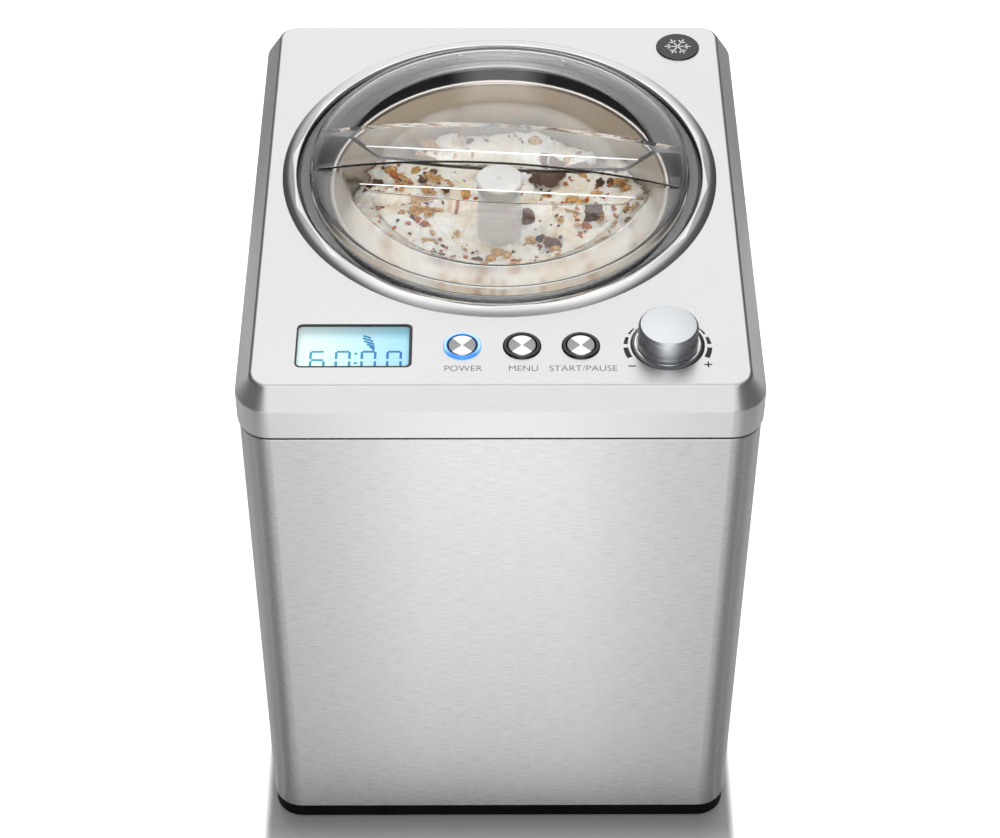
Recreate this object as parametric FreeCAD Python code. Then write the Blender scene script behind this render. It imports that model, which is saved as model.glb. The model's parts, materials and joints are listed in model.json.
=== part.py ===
import FreeCAD, Part
import math
import os
from FreeCAD import Vector

# Upright compressor ice cream maker. Millimetres, +Z up, front at -Y.
# Origin: centre of the footprint on the surface that the feet stand on.

# ---- driving dimensions ----
cover_width = 273.0
cover_depth = 317.0
cover_overhang = 1.0        # cover stands this far outside the steel wrap
wrap_corner = 17.0          # vertical corner radius of the wrap
wrap_sheet = 1.0
hem = 7.0                   # inward flange at the wrap's top and bottom
foot_height = 2.4
tray_height = 10.6
tray_inset = 0.7            # tray wall stands this far inside the wrap
tray_floor = 3.0
wrap_height = 313.6
seam = 2.0                  # dark joint between wrap and cover
edge_roll = 0.8             # rolled edges each side of the seam
band_height = 18.9
bevel_rise = 12.5
bevel_inset_side = 8.4
bevel_inset_front = 7.1     # at the rear too
edge_round = 1.6            # lower edge of the bevel
top_round = 2.2             # upper edge of the bevel
cover_wall = 2.5
axis_y = 18.8               # bowl, lid and drive share this vertical axis
fit = 0.3                   # gap between bodies that pass each other
snug = 0.1                  # gap between fitted pieces of one body

# well, bowl and lid
bowl_inner_r = 91.0
bowl_wall = 1.1
bowl_height = 100.0
bowl_corner = 8.0
bead_r = 2.2
bowl_gap = 0.5              # bowl to chamber, radial
rim_room = 8.6              # bead to the lid ledge, radial
lid_step = 0.5              # lid side stands this far outside the ledge's inner edge
lid_lip = 6.0               # lid flange reaches this far past the lid side
lid_gap = 1.7               # lid flange to collar
lid_rise = 7.5
lid_wall = 2.2
lid_flange = 2.0
dish_depth = 11.0           # pocket floor below the top plate at the centre
dish_rise = 4.0             # pocket floor rises this much towards its wall
plateau_width = 18.0        # raised ring between the pocket and the lid side
pocket_slope = 15.5         # run of the pocket's wall
handle_width = 34.0
handle_top = 19.5           # handle crown above the top plate
handle_turn = -4.6
mark_turn = 18.0            # lid marks, each side of the rear
collar_flat = 3.6
collar_slope = 4.5
collar_rise = 2.0
collar_neck = 12.0
collar_wall = 2.0
ledge_drop = 1.5            # ledge is this far below the top plate
seat_drop = 14.0            # bowl seat is this far below the top plate
ring_wall = 2.5
tube_bore_r = 6.2
tube_wall = 1.8
tube_height = 71.5
chamber_wall = 1.5
coil_r = 3.0
coil_rings = 7
coil_pitch = 12.0
coil_lift = 10.0            # lowest coil above the chamber's underside
foam_lap = 5.8              # foam reaches this far outside the collar bore
foam_floor = 22.0
line_slot = 13.0            # half width of the pipe channel at the rear of the foam

bowl_outer_r = bowl_inner_r + bowl_wall
ledge_r = bowl_inner_r + 2 * bead_r + rim_room
lid_r = ledge_r + lid_step
lid_flange_r = lid_r + lid_lip
pocket_r = lid_r - plateau_width
pocket_foot_r = pocket_r - pocket_slope
collar_bore_r = lid_flange_r + lid_gap
collar_top_r = collar_bore_r + collar_flat
collar_foot_r = collar_top_r + collar_slope
foam_r = collar_bore_r + foam_lap

# drive
shaft_r = 5.0
shaft_square = 7.0
square_length = 14.0
running = 0.05
gear_module = 1.25
pressure_angle = 25.0
backlash = 0.2
output_teeth = 64
idler_small_teeth = 14
idler_big_teeth = 60
pinion_teeth = 12
train_angle = -60.0
deck_top = 150.0
deck_sheet = 1.5
gear_floor = 2.5
gear_room = 27.5
motor_r = 27.0
motor_height = 56.0
hub_width = 24.0
hub_corner = 3.5
paddle_cap_r = 13.1
paddle_top_drop = 5.0
blade_gap = 1.7             # blade end to bowl wall
blade_height = 59.0
blade_sheet = 4.0
blade_foot = 12.0           # width of the blade's foot
blade_hole = (20.0, 46.0)   # inner opening of each blade, from the axis
blade_post = 6.0            # between the two openings
blade_end = 9.3             # left beyond the outer opening

# controls on the front of the top plate
panel_y = -122.6
window = (-105.6, -45.5, -138.3, -105.9)
window_corner = 3.2
window_border = 1.0
window_border_right = 1.7
window_skin = 0.5           # cover thickness round the window
window_pocket = 2.6         # pocket under the skin, past the window at front and sides
window_pocket_rear = 5.6
bezel_rim = 1.1             # rim and plate of the bezel, below the top plate
bezel_wall = 1.4
panel_drop = 4.7            # display glass below the top plate
panel_sheet = 1.5
module_depth = 4.0
button_xs = (-19.8, 11.0, 41.3)
button_ring_r = 9.9
button_r = 7.6
button_travel = 0.8
button_stand = 0.9
knob_x = 86.0
knob_y = -121.6
knob_r = 15.5
knob_height = 14.0
knob_chamfer = 1.1
knob_ring_gap = 0.7
knob_ring_width = 3.0
knob_ring_rise = 1.0
knob_ring_edge = 0.3
knob_roof = 2.8             # left above the shaft's bore
encoder_r = 3.0
badge = (104.8, 131.4, 12.6)
board_drop = 19.0           # control board top face below the top plate
board_sheet = 1.6

control_posts = [(x, y) for x in (-114.0, 112.0) for y in (-143.0, -103.0)]

# machinery in the lower bay
foot_places = [(x, y) for x in (-105.0, 105.0) for y in (-127.0, 127.0)]
board_posts = [(x, y) for x in (-108.0, -22.0) for y in (-137.0, -72.0)]
board_lift = 8.0            # power board above the tray floor
deck_posts = [(-118.0, -105.0), (118.0, -105.0), (-118.0, 112.0), (118.0, 60.0)]
post_r = 5.0
gland_x = -70.0
gland_z = 44.0
compressor = (-58.0, 42.0, 48.0)
compressor_height = 104.0
grommet_height = 12.0
fan_centre = (68.0, 70.0)
fan_r = 40.0
fan_front = 78.0
condenser_front = 108.0
condenser_depth = 22.0
drier = (-20.0, 104.0, 50.0, 116.0)

# ---- levels and places that follow ----
tray_bottom = foot_height
tray_top = tray_bottom + tray_height
wrap_top = tray_top + wrap_height
cover_bottom = wrap_top + seam
bevel_bottom = cover_bottom + band_height
top_z = bevel_bottom + bevel_rise
floor_z = tray_bottom + tray_floor
board_top = top_z - board_drop
body_width = cover_width - 2 * cover_overhang
body_depth = cover_depth - 2 * cover_overhang
rear_y = body_depth / 2

rear_screws = [(x, z) for x in (-100.0, 100.0) for z in (tray_top + 20.0, wrap_top - 24.0)]


def box(x0, x1, y0, y1, z0, z1):
    return Part.makeBox(x1 - x0, y1 - y0, z1 - z0, Vector(x0, y0, z0))


def cyl(x, y, z0, z1, radius):
    return Part.makeCylinder(radius, z1 - z0, Vector(x, y, z0))


def cyl_along(direction, start, length, radius):
    return Part.makeCylinder(radius, length, Vector(*start), Vector(*direction))


def tube_ring(x, y, z0, z1, outer, inner):
    return cyl(x, y, z0, z1, outer).cut(cyl(x, y, z0 - 1, z1 + 1, inner))


def join(shapes):
    whole = shapes[0]
    if len(shapes) > 1:
        whole = shapes[0].fuse(shapes[1:])
    return whole.removeSplitter()


def round_box(x0, x1, y0, y1, z0, z1, radius):
    # upright prism on a rectangle with round corners
    lows = (x0 + radius, y0 + radius)
    highs = (x1 - radius, y1 - radius)
    corners = ((highs[0], highs[1], 0), (lows[0], highs[1], 90), (lows[0], lows[1], 180), (highs[0], lows[1], 270))
    edges = []
    points = []
    for cx, cy, start in corners:
        ring = []
        for step in (0, 45, 90):
            angle = math.radians(start + step)
            ring.append(Vector(cx + radius * math.cos(angle), cy + radius * math.sin(angle), z0))
        points.append(ring)
    for number, ring in enumerate(points):
        edges.append(Part.Arc(ring[0], ring[1], ring[2]).toShape())
        after = points[(number + 1) % 4][0]
        if ring[2].distanceToPoint(after) > 1e-6:
            edges.append(Part.LineSegment(ring[2], after).toShape())
    return Part.Face(Part.Wire(edges)).extrude(Vector(0, 0, z1 - z0))


def outline(inset, z0, z1):
    # prism on the body outline, moved inwards by inset
    half_x = body_width / 2 - inset
    half_y = body_depth / 2 - inset
    return round_box(-half_x, half_x, -half_y, half_y, z0, z1, max(wrap_corner - inset, 2.0))


def outline_ring(outer, inner, z0, z1):
    return outline(outer, z0, z1).cut(outline(inner, z0 - 1, z1 + 1))


def rounded(solid, level, radius):
    # rounds every edge that lies flat at this level
    chosen = []
    for edge in solid.Edges:
        if all(abs(vertex.Z - level) < 1e-3 for vertex in edge.Vertexes):
            chosen.append(edge)
    return solid.makeFillet(radius, chosen)


def turned(points, x=0.0, y=axis_y):
    # closed outline of (radius, z) points turned about a vertical axis
    path = [Vector(x + r, y, z) for r, z in points]
    path.append(path[0])
    face = Part.Face(Part.makePolygon(path))
    return face.revolve(Vector(x, y, 0), Vector(0, 0, 1), 360)


def capsule(x0, x1, y, z0, z1, depth):
    # horizontal slot with round ends, cut along Y
    half = (z1 - z0) / 2
    middle = (z0 + z1) / 2
    slot = box(x0 + half, x1 - half, y, y + depth, z0, z1)
    ends = [cyl_along((0, 1, 0), (x, y, middle), depth, half) for x in (x0 + half, x1 - half)]
    return join([slot] + ends)


def pipe(points, radius, bend):
    # tube of one radius along straight runs joined by tangent arcs
    nodes = [Vector(*point) for point in points]
    edges = []
    here = nodes[0]
    for number in range(1, len(nodes) - 1):
        corner = nodes[number]
        back = (nodes[number - 1] - corner).normalize()
        ahead = (nodes[number + 1] - corner).normalize()
        half = back.getAngle(ahead) / 2
        reach = bend / math.tan(half)
        start = corner + back * reach
        finish = corner + ahead * reach
        centre_way = (back + ahead).normalize()
        middle = corner + centre_way * (bend / math.sin(half) - bend)
        edges.append(Part.LineSegment(here, start).toShape())
        edges.append(Part.Arc(start, middle, finish).toShape())
        here = finish
    edges.append(Part.LineSegment(here, nodes[-1]).toShape())
    path = Part.Wire(edges)
    first = (nodes[1] - nodes[0]).normalize()
    section = Part.Wire([Part.makeCircle(radius, nodes[0], first)])
    return path.makePipeShell([section], True, True)


def pan_screw(x, y, z, direction, length, radius, head_r, head_height):
    shank = cyl_along(direction, (x, y, z), length, radius)
    way = Vector(*direction)
    start = Vector(x, y, z) - way * head_height
    head = Part.makeCylinder(head_r, head_height, start, way)
    return join([shank, head])


def gear(teeth, x, y, z0, z1, tooth_angle, bore):
    # involute spur gear with one tooth centred on tooth_angle (degrees)
    pitch_r = gear_module * teeth / 2
    base_r = pitch_r * math.cos(math.radians(pressure_angle))
    tip_r = pitch_r + gear_module * 0.92
    root_r = pitch_r - gear_module * 1.2
    alpha = math.radians(pressure_angle)
    half_tooth = math.pi / (2 * teeth) - backlash / (4 * pitch_r)

    def half_angle(radius):
        phi = math.acos(min(1.0, base_r / max(radius, base_r)))
        return half_tooth + (math.tan(alpha) - alpha) - (math.tan(phi) - phi)

    start_r = max(base_r, root_r)
    radii = [start_r + (tip_r - start_r) * step / 4 for step in range(5)]
    outline_points = []
    for tooth in range(teeth):
        middle = math.radians(tooth_angle) + 2 * math.pi * tooth / teeth
        flank = [(root_r, half_angle(start_r))]
        if start_r > root_r + 0.01:
            flank.append((start_r, half_angle(start_r)))
        flank += [(radius, half_angle(radius)) for radius in radii[1:]]
        rising = [(radius, middle - angle) for radius, angle in flank]
        falling = [(radius, middle + angle) for radius, angle in reversed(flank)]
        for radius, angle in rising + falling:
            outline_points.append(Vector(x + radius * math.cos(angle), y + radius * math.sin(angle), z0))
    outline_points.append(outline_points[0])
    body = Part.Face(Part.makePolygon(outline_points)).extrude(Vector(0, 0, z1 - z0))
    return body.cut(cyl(x, y, z0 - 1, z1 + 1, bore))


os.makedirs("parts", exist_ok=True)


def save(name, shape):
    shape.exportStep("parts/" + name + ".step")
    print(name, len(shape.Solids), "solids", round(shape.Volume / 1000, 2), "cm3")


# ---- gear train places ----
output_level = deck_top + gear_floor + 13.0
idler_level = deck_top + gear_floor + 3.0
wheel_width = 7.0
output_width = 9.0
stage_one = gear_module * (output_teeth + idler_small_teeth) / 2
stage_two = gear_module * (idler_big_teeth + pinion_teeth) / 2
train = math.radians(train_angle)
idler_x = stage_one * math.cos(train)
idler_y = axis_y + stage_one * math.sin(train)
motor_x = idler_x + stage_two * math.cos(train)
motor_y = idler_y + stage_two * math.sin(train)
gearbox_top = deck_top + gear_floor + gear_room
deck_bottom = deck_top - deck_sheet

# ---- chamber stack ----
bowl_bottom = top_z - seat_drop + fit + 2 * bead_r + 0.3 - bowl_height - 1.0
chamber_inner_r = bowl_outer_r + bowl_gap
chamber_outer_r = chamber_inner_r + chamber_wall
chamber_floor_top = bowl_bottom - 0.6
chamber_floor = chamber_floor_top - chamber_wall
seat_z = top_z - seat_drop
ring_bottom = seat_z - ring_wall
foam_top = ring_bottom - chamber_wall - snug
foam_bottom = chamber_floor - snug - foam_floor
chamber_tray_top = foam_bottom
chamber_tray_sheet = 3.0
boss_r = 14.0
bearing_r = 9.0
coil_ring_r = chamber_outer_r + coil_r + running
foam_bore_r = coil_ring_r + coil_r + 0.2
slot_start = axis_y + foam_bore_r - 10.0


def make_base():
    tray = outline(tray_inset, tray_bottom, tray_top).cut(outline(9.5, floor_z, tray_top + 1))
    tongue = outline_ring(hem + fit, hem + fit + 2.5, floor_z, tray_top + 8)
    cuts = []
    for x, y in foot_places:
        cuts.append(cyl(x, y, tray_bottom - 1, floor_z + 1, 4.0 + snug))
    for number in range(9):
        y = -60.0 + number * 9.0
        cuts.append(box(30, 100, y, y + 3.6, tray_bottom - 1, floor_z + 1))
    posts = []
    for x, y in board_posts:
        posts.append(tube_ring(x, y, floor_z, floor_z + board_lift, 4.0, 1.3))
    for x in (-100.0, 100.0):
        post = box(x - 6, x + 6, rear_y - 15, rear_y - 4 - snug, floor_z, tray_top + 30)
        post = post.cut(cyl_along((0, 1, 0), (x, rear_y - 16, tray_top + 20), 14, 1.5 + 0.05))
        posts.append(post)
    tray = join([tray, tongue] + posts)
    rear_notch = box(-118 - fit, 118 + fit, rear_y - 4, rear_y + 1, tray_top + 1, tray_top + 20)
    save("base_tray", tray.cut(cuts + [rear_notch]))

    feet = []
    for x, y in foot_places:
        foot = join([cyl(x, y, 0, foot_height, 11), cyl(x, y, foot_height, floor_z + 2, 4)])
        feet.append(foot)
    save("rubber_feet", Part.makeCompound(feet))


make_base()


def make_casing():
    wrap = rounded(outline(0, tray_top, wrap_top), wrap_top, edge_roll)
    save("steel_wrap", wrap.cut([
        outline(wrap_sheet, tray_top + wrap_sheet, wrap_top - wrap_sheet),
        outline(hem, tray_top - 1, wrap_top + 1),
        box(-112, 112, rear_y - 20, rear_y + 1, tray_top - 1, wrap_top + 1),
    ]))

    plate = box(-112 + fit, 112 - fit, rear_y - 3, rear_y, tray_top + fit, wrap_top - fit)
    lip = box(-118, 118, rear_y - 4, rear_y - wrap_sheet - fit, tray_top + wrap_sheet + fit,
              wrap_top - wrap_sheet - fit)
    panel = join([plate, lip])
    cuts = []
    for number in range(14):
        z = 26.0 + number * 8.0
        cuts.append(capsule(24, 110, rear_y - 5, z, z + 3.6, 6))
    for number in range(8):
        z = 74.0 + number * 8.0
        cuts.append(capsule(-110, -24, rear_y - 5, z, z + 3.6, 6))
    cuts.append(cyl_along((0, 1, 0), (gland_x, rear_y - 5, gland_z), 6, 8.0))
    for x, z in rear_screws:
        cuts.append(cyl_along((0, 1, 0), (x, rear_y - 5, z), 6, 1.7))
        cuts.append(cyl_along((0, 1, 0), (x, rear_y - 1.8, z), 3, 3.8))
    save("rear_panel", panel.cut(cuts))

    gland = join([
        cyl_along((0, 1, 0), (gland_x, rear_y - 12, gland_z), 13, 7.9),
        cyl_along((0, 1, 0), (gland_x, rear_y - 8, gland_z), 4, 10.5),
    ])
    gland = gland.cut(cyl_along((0, 1, 0), (gland_x, rear_y - 9, gland_z), 12, 3.6))
    save("cord_gland", gland)

    frame = join([
        outline_ring(hem + fit, 11, wrap_top - 12, wrap_top),
        outline_ring(0.9, 13, wrap_top, cover_bottom),
        outline_ring(cover_wall - cover_overhang + fit, 5, cover_bottom, cover_bottom + 7),
    ])
    tabs = []
    for x in (-100.0, 100.0):
        tab = box(x - 6, x + 6, rear_y - 15, rear_y - 4 - snug, wrap_top - 34, wrap_top)
        tab = tab.cut(cyl_along((0, 1, 0), (x, rear_y - 16, wrap_top - 24), 14, 1.5 + 0.05))
        tabs.append(tab)
    save("top_frame", join([frame] + tabs))


make_casing()


def bevelled(inset, bottom, top):
    # cover-shaped block: upright band, then a bevel up to a flat top
    half_x = cover_width / 2 - inset
    half_y = cover_depth / 2 - inset
    corner = wrap_corner + cover_overhang - inset
    low = round_box(-half_x, half_x, -half_y, half_y, top - bevel_rise, top - bevel_rise + 1, corner)
    top_x = half_x - bevel_inset_side
    top_y = half_y - bevel_inset_front
    high = round_box(-top_x, top_x, -top_y, top_y, top, top + 1, corner - bevel_inset_side)
    wires = []
    for slab in (low, high):
        under = min(slab.Faces, key=lambda face: face.CenterOfMass.z)
        wires.append(under.OuterWire)
    hip = Part.makeLoft(wires, True, True)
    band = round_box(-half_x, half_x, -half_y, half_y, bottom, top - bevel_rise, corner)
    return band.fuse(hip).removeSplitter()


def make_cover():
    cover = bevelled(0, cover_bottom, top_z)
    for level, radius in ((top_z, top_round), (bevel_bottom, edge_round), (cover_bottom, edge_roll)):
        cover = rounded(cover, level, radius)
    cover = cover.cut(bevelled(cover_wall, cover_bottom - 1, top_z - cover_wall))
    bosses = []
    for x, y in control_posts:
        boss = tube_ring(x, y, board_top, top_z - cover_wall, 3.2, 1.2)
        bosses.append(boss)
    cover = join([cover] + bosses)
    cuts = [cyl(0, axis_y, top_z - 10, top_z + 1, collar_bore_r + collar_wall + 0.2)]
    x0, x1, y0, y1 = window
    skin = top_z - window_skin
    cuts.append(round_box(x0, x1, y0, y1, skin - 1, top_z + 1, window_corner))
    cuts.append(round_box(x0 - window_pocket, x1 + window_pocket, y0 - window_pocket, y1 + window_pocket_rear,
                          top_z - 10, skin, window_corner))
    for x in button_xs:
        cuts.append(cyl(x, panel_y, top_z - 10, top_z + 1, button_ring_r + snug))
    cuts.append(cyl(knob_x, knob_y, top_z - 10, top_z + 1, 4.8))
    save("top_cover", cover.cut(cuts))


make_cover()


def make_well():
    neck_r = collar_bore_r + collar_wall
    collar = turned([
        (collar_bore_r, top_z - collar_neck), (neck_r, top_z - collar_neck), (neck_r, top_z),
        (collar_foot_r, top_z), (collar_top_r, top_z + collar_rise), (collar_bore_r, top_z + collar_rise),
    ])
    save("bowl_collar", collar)

    ledge_z = top_z - ledge_drop
    flange_z = top_z - collar_neck
    ring_r = collar_bore_r - 0.3
    ring = turned([
        (chamber_inner_r, seat_z), (ledge_r, seat_z), (ledge_r, ledge_z), (ring_r, ledge_z),
        (ring_r, flange_z), (foam_r, flange_z), (foam_r, flange_z - ring_wall),
        (ledge_r + ring_wall, flange_z - ring_wall), (ledge_r + ring_wall, ring_bottom),
        (chamber_inner_r, ring_bottom),
    ])
    save("well_ring", ring)

    cup = turned([
        (bearing_r + 0.3, chamber_floor), (chamber_outer_r, chamber_floor),
        (chamber_outer_r, ring_bottom - chamber_wall), (ledge_r, ring_bottom - chamber_wall),
        (ledge_r, ring_bottom), (chamber_inner_r, ring_bottom), (chamber_inner_r, chamber_floor_top),
        (bearing_r + 0.3, chamber_floor_top),
    ])
    save("chamber_cup", cup)

    rings = []
    first = chamber_floor + coil_lift
    for number in range(coil_rings):
        z = first + number * coil_pitch
        rings.append(Part.makeTorus(coil_ring_r, coil_r, Vector(0, axis_y, z)))
    for number in range(coil_rings - 1):
        angle = math.radians(250 + 40 * (number % 2))
        x = coil_ring_r * math.cos(angle)
        y = axis_y + coil_ring_r * math.sin(angle)
        rings.append(cyl(x, y, first + number * coil_pitch, first + (number + 1) * coil_pitch, coil_r * 0.9))
    save("evaporator_coil", join(rings))

    foam = cyl(0, axis_y, foam_bottom, foam_top, foam_r)
    foam = foam.cut([
        cyl(0, axis_y, chamber_floor - snug, foam_top + 1, foam_bore_r),
        cyl(0, axis_y, foam_bottom - 1, foam_top, boss_r + fit),
        box(-line_slot, line_slot, slot_start, axis_y + foam_r + 1, foam_bottom - 1, foam_top + 1),
    ])
    save("foam_insulation", foam)

    tray = join([
        cyl(0, axis_y, chamber_tray_top - chamber_tray_sheet, chamber_tray_top, foam_r),
        cyl(0, axis_y, chamber_tray_top - 8, chamber_floor - 0.2, boss_r),
    ])
    tray = tray.cut([
        cyl(0, axis_y, chamber_tray_top - 9, chamber_floor + 1, bearing_r + 0.05),
        box(-line_slot, line_slot, slot_start, axis_y + foam_r + 1, foam_bottom - 9, foam_top + 1),
    ])
    save("chamber_tray", tray)

    save("bearing_bush", tube_ring(0, axis_y, chamber_tray_top - 8, chamber_floor - 4.2, bearing_r, shaft_r + running))
    save("shaft_seal", tube_ring(0, axis_y, chamber_floor - 4.0, chamber_floor_top - 0.2, bearing_r, shaft_r + running))


make_well()


def make_bowl():
    tube_outer = tube_bore_r + tube_wall
    rim_z = seat_z + fit + bead_r
    bottom = bowl_bottom
    corner = bowl_corner
    outer = cyl(0, axis_y, bottom, rim_z, bowl_outer_r)
    low = [e for e in outer.Edges if e.Vertexes[0].Z < bottom + 1e-3 and len(e.Vertexes) == 1]
    outer = outer.makeFillet(corner, low)
    inner = cyl(0, axis_y, bottom + bowl_wall, rim_z + 1, bowl_inner_r)
    low = [e for e in inner.Edges if e.Vertexes[0].Z < bottom + bowl_wall + 1e-3 and len(e.Vertexes) == 1]
    inner = inner.makeFillet(corner - bowl_wall, low)
    shell = outer.cut(inner)
    bead = Part.makeTorus(bowl_inner_r + bead_r, bead_r, Vector(0, axis_y, rim_z))
    tube = cyl(0, axis_y, bottom, bottom + tube_height, tube_outer)
    bowl = join([shell, bead, tube]).cut(cyl(0, axis_y, bottom - 1, bottom + tube_height + 1, tube_bore_r))
    save("mixing_bowl", bowl)


make_bowl()


def make_paddle():
    tube_outer = tube_bore_r + tube_wall
    low = bowl_bottom + bowl_wall + 1.5
    cap_z = top_z - paddle_top_drop
    neck_z = top_z - dish_depth - lid_wall - 1.2
    half = hub_width / 2
    reach_r = bowl_inner_r - blade_gap
    holes = (blade_hole, (blade_hole[1] + blade_post, reach_r - blade_end))
    hub = round_box(-half, half, axis_y - half, axis_y + half, low, neck_z, hub_corner)
    neck = cyl(0, axis_y, neck_z, cap_z - 2, 11.0)
    cap = turned([(0, cap_z - 2.6), (paddle_cap_r, cap_z - 2.6), (paddle_cap_r, cap_z - 0.8),
                  (paddle_cap_r - 1.0, cap_z), (1.6, cap_z), (0, cap_z - 1.0)])
    sheets = []
    for side in (-1, 1):
        x0, x1 = sorted((side * (half - 2), side * reach_r))
        sheet = box(x0, x1, axis_y - blade_sheet / 2, axis_y + blade_sheet / 2, low, low + blade_height)
        windows = []
        for start, end in holes:
            w0, w1 = sorted((side * start, side * end))
            rise = 10.0 if side > 0 else 14.0
            windows.append(box(w0, w1, axis_y - 5, axis_y + 5, low + rise, low + blade_height - 9))
        sheets.append(sheet.cut(windows))
        foot = box(x0, x1, axis_y - blade_foot / 2, axis_y + blade_foot / 2, low, low + 4)
        sheets.append(foot)
    reach = cyl(0, axis_y, low, low + blade_height + 1, reach_r)
    edges = [e for e in reach.Edges if e.Vertexes[0].Z < low + 1e-3 and len(e.Vertexes) == 1]
    reach = reach.makeFillet(bowl_corner, edges)
    limbs = join(sheets).common(reach)
    bore = cyl(0, axis_y, low - 1, bowl_bottom + tube_height + 0.8, tube_outer + 0.5)
    socket_half = shaft_square / 2 + 0.15
    socket = box(-socket_half, socket_half, axis_y - socket_half, axis_y + socket_half, low,
                 bowl_bottom + tube_height + 0.8 + square_length + 2)
    paddle = join([hub, neck, cap, limbs]).cut([bore, socket])
    save("paddle", paddle)


make_paddle()


def lid_block(wall):
    # solid under the lid's upper surface, lowered and drawn in by the wall
    low = top_z - 24.0
    flat = top_z + lid_rise - wall
    rim = lid_r - wall
    drum = cyl(0, 0, low, flat, rim)
    depth = top_z - dish_depth - wall
    dish_points = [(0, depth), (pocket_foot_r, depth + dish_rise), (pocket_r, top_z + lid_rise - wall),
                   (pocket_r + 3, top_z + 40), (0, top_z + 40)]
    dish = turned(dish_points, 0.0, 0.0)
    drum = drum.cut(dish)
    half = handle_width / 2 - wall
    crown = handle_top - lid_rise
    arc_r = (lid_r ** 2 + crown ** 2) / (2 * crown)
    arch = cyl_along((0, 1, 0), (0, -half, top_z + handle_top - arc_r - wall), 2 * half, arc_r)
    bridge = arch.common(box(-rim, rim, -half, half, low, top_z + 40))
    bridge = bridge.common(cyl(0, 0, low, top_z + 40, rim))
    return drum.fuse(bridge)


def make_lid():
    shell = lid_block(0).cut(lid_block(lid_wall))
    skirt_end = top_z - ledge_drop + fit
    trim = cyl(0, 0, top_z - 30, skirt_end, lid_r + 5).cut(cyl(0, 0, top_z - 31, skirt_end + 1, pocket_r + 2))
    shell = shell.cut(trim)
    flange = cyl(0, 0, skirt_end, skirt_end + lid_flange, lid_flange_r)
    flange = flange.cut(cyl(0, 0, skirt_end - 1, skirt_end + lid_flange + 1, lid_r - lid_wall))
    lid = join([shell, flange])
    marks = []
    mark_place = (lid_r + pocket_r) / 2
    for side in (-1, 1):
        spot = math.radians(90 + side * mark_turn)
        marks.append(tube_ring(mark_place * math.cos(spot), mark_place * math.sin(spot), top_z + lid_rise - 0.4,
                               top_z + lid_rise + 0.4, 3.0, 2.2))
    lid = join([lid] + marks)
    lid.rotate(Vector(0, 0, 0), Vector(0, 0, 1), handle_turn)
    lid.translate(Vector(0, axis_y, 0))
    save("lid", lid)


make_lid()


def make_drive():
    square_foot = bowl_bottom + tube_height + 0.5
    square = shaft_square / 2
    shaft = join([
        cyl(0, axis_y, deck_top + gear_floor + 0.5, square_foot, shaft_r),
        box(-square, square, axis_y - square, axis_y + square, square_foot, square_foot + square_length),
    ])
    save("drive_shaft", shaft)
    save("output_gear", gear(output_teeth, 0, axis_y, output_level, output_level + output_width,
                             train_angle, shaft_r + 0.02))

    small_gap = train_angle + 180 + 180 / idler_small_teeth
    small = gear(idler_small_teeth, idler_x, idler_y, idler_level + wheel_width, output_level + output_width + 1,
                 small_gap, 3 + running)
    big = gear(idler_big_teeth, idler_x, idler_y, idler_level, idler_level + wheel_width, train_angle, 3 + running)
    save("idler_gear", join([small, big]))
    pinion_gap = train_angle + 180 + 180 / pinion_teeth
    save("motor_pinion", gear(pinion_teeth, motor_x, motor_y, idler_level - 1, idler_level + wheel_width + 1,
                              pinion_gap, 2.52))
    save("idler_pin", cyl(idler_x, idler_y, deck_top + gear_floor, gearbox_top, 3))

    centres = ((0, axis_y, 44.0), (idler_x, idler_y, 41.5), (motor_x, motor_y, 16.0))
    floor = deck_top + gear_floor
    outer = join([cyl(x, y, deck_top, gearbox_top, r + 3) for x, y, r in centres])
    inner = join([cyl(x, y, floor, gearbox_top + 1, r) for x, y, r in centres])
    housing = outer.cut(inner)
    boss = tube_ring(0, axis_y, floor, floor + 8, 9.0, shaft_r + running)
    housing = join([housing, boss]).cut(cyl(motor_x, motor_y, deck_top - 1, floor + 1, 9.0))
    save("gearbox_housing", housing)
    lid_plate = join([cyl(x, y, gearbox_top, gearbox_top + 3, r + 3) for x, y, r in centres])
    lid_plate = join([lid_plate, cyl(0, axis_y, gearbox_top + 3, gearbox_top + 9, 10)])
    save("gearbox_cover", lid_plate.cut(cyl(0, axis_y, gearbox_top - 1, gearbox_top + 10, shaft_r + running)))

    top = deck_bottom
    low = top - motor_height
    can = cyl(motor_x, motor_y, low, top, motor_r).cut(cyl(motor_x, motor_y, low + 2, top - 3, motor_r - 2))
    can = can.cut([
        cyl(motor_x, motor_y, top - 4, top + 1, 2.5 + running),
        cyl(motor_x, motor_y, low - 1, low + 3, 2.5 + running),
    ])
    save("motor_can", can)
    save("motor_stator", tube_ring(motor_x, motor_y, low + 10, top - 12, motor_r - 2.05, motor_r - 9))
    rotor = join([
        cyl(motor_x, motor_y, low - 1, idler_level + wheel_width + 1.5, 2.5),
        cyl(motor_x, motor_y, low + 10, top - 12, motor_r - 9.5),
    ])
    save("motor_rotor", rotor)

    deck = outline(hem + 1.0, deck_bottom, deck_top)
    cuts = [
        cyl(motor_x, motor_y, deck_bottom - 1, deck_top + 1, 9.0),
        box(-34, 34, 116, rear_y + 1, deck_bottom - 1, deck_top + 1),
        box(-120, 120, rear_y - 16, rear_y + 1, deck_bottom - 1, deck_top + 1),
    ]
    save("deck_plate", deck.cut(cuts))
    posts = [cyl(x, y, floor_z, deck_bottom, post_r) for x, y in deck_posts]
    for angle in (35, 145, 215, 325):
        x = (foam_r - 2 * post_r) * math.cos(math.radians(angle))
        y = axis_y + (foam_r - 2 * post_r) * math.sin(math.radians(angle))
        posts.append(cyl(x, y, deck_top, chamber_tray_top - chamber_tray_sheet, post_r))
    save("support_posts", Part.makeCompound(posts))


make_drive()


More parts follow.
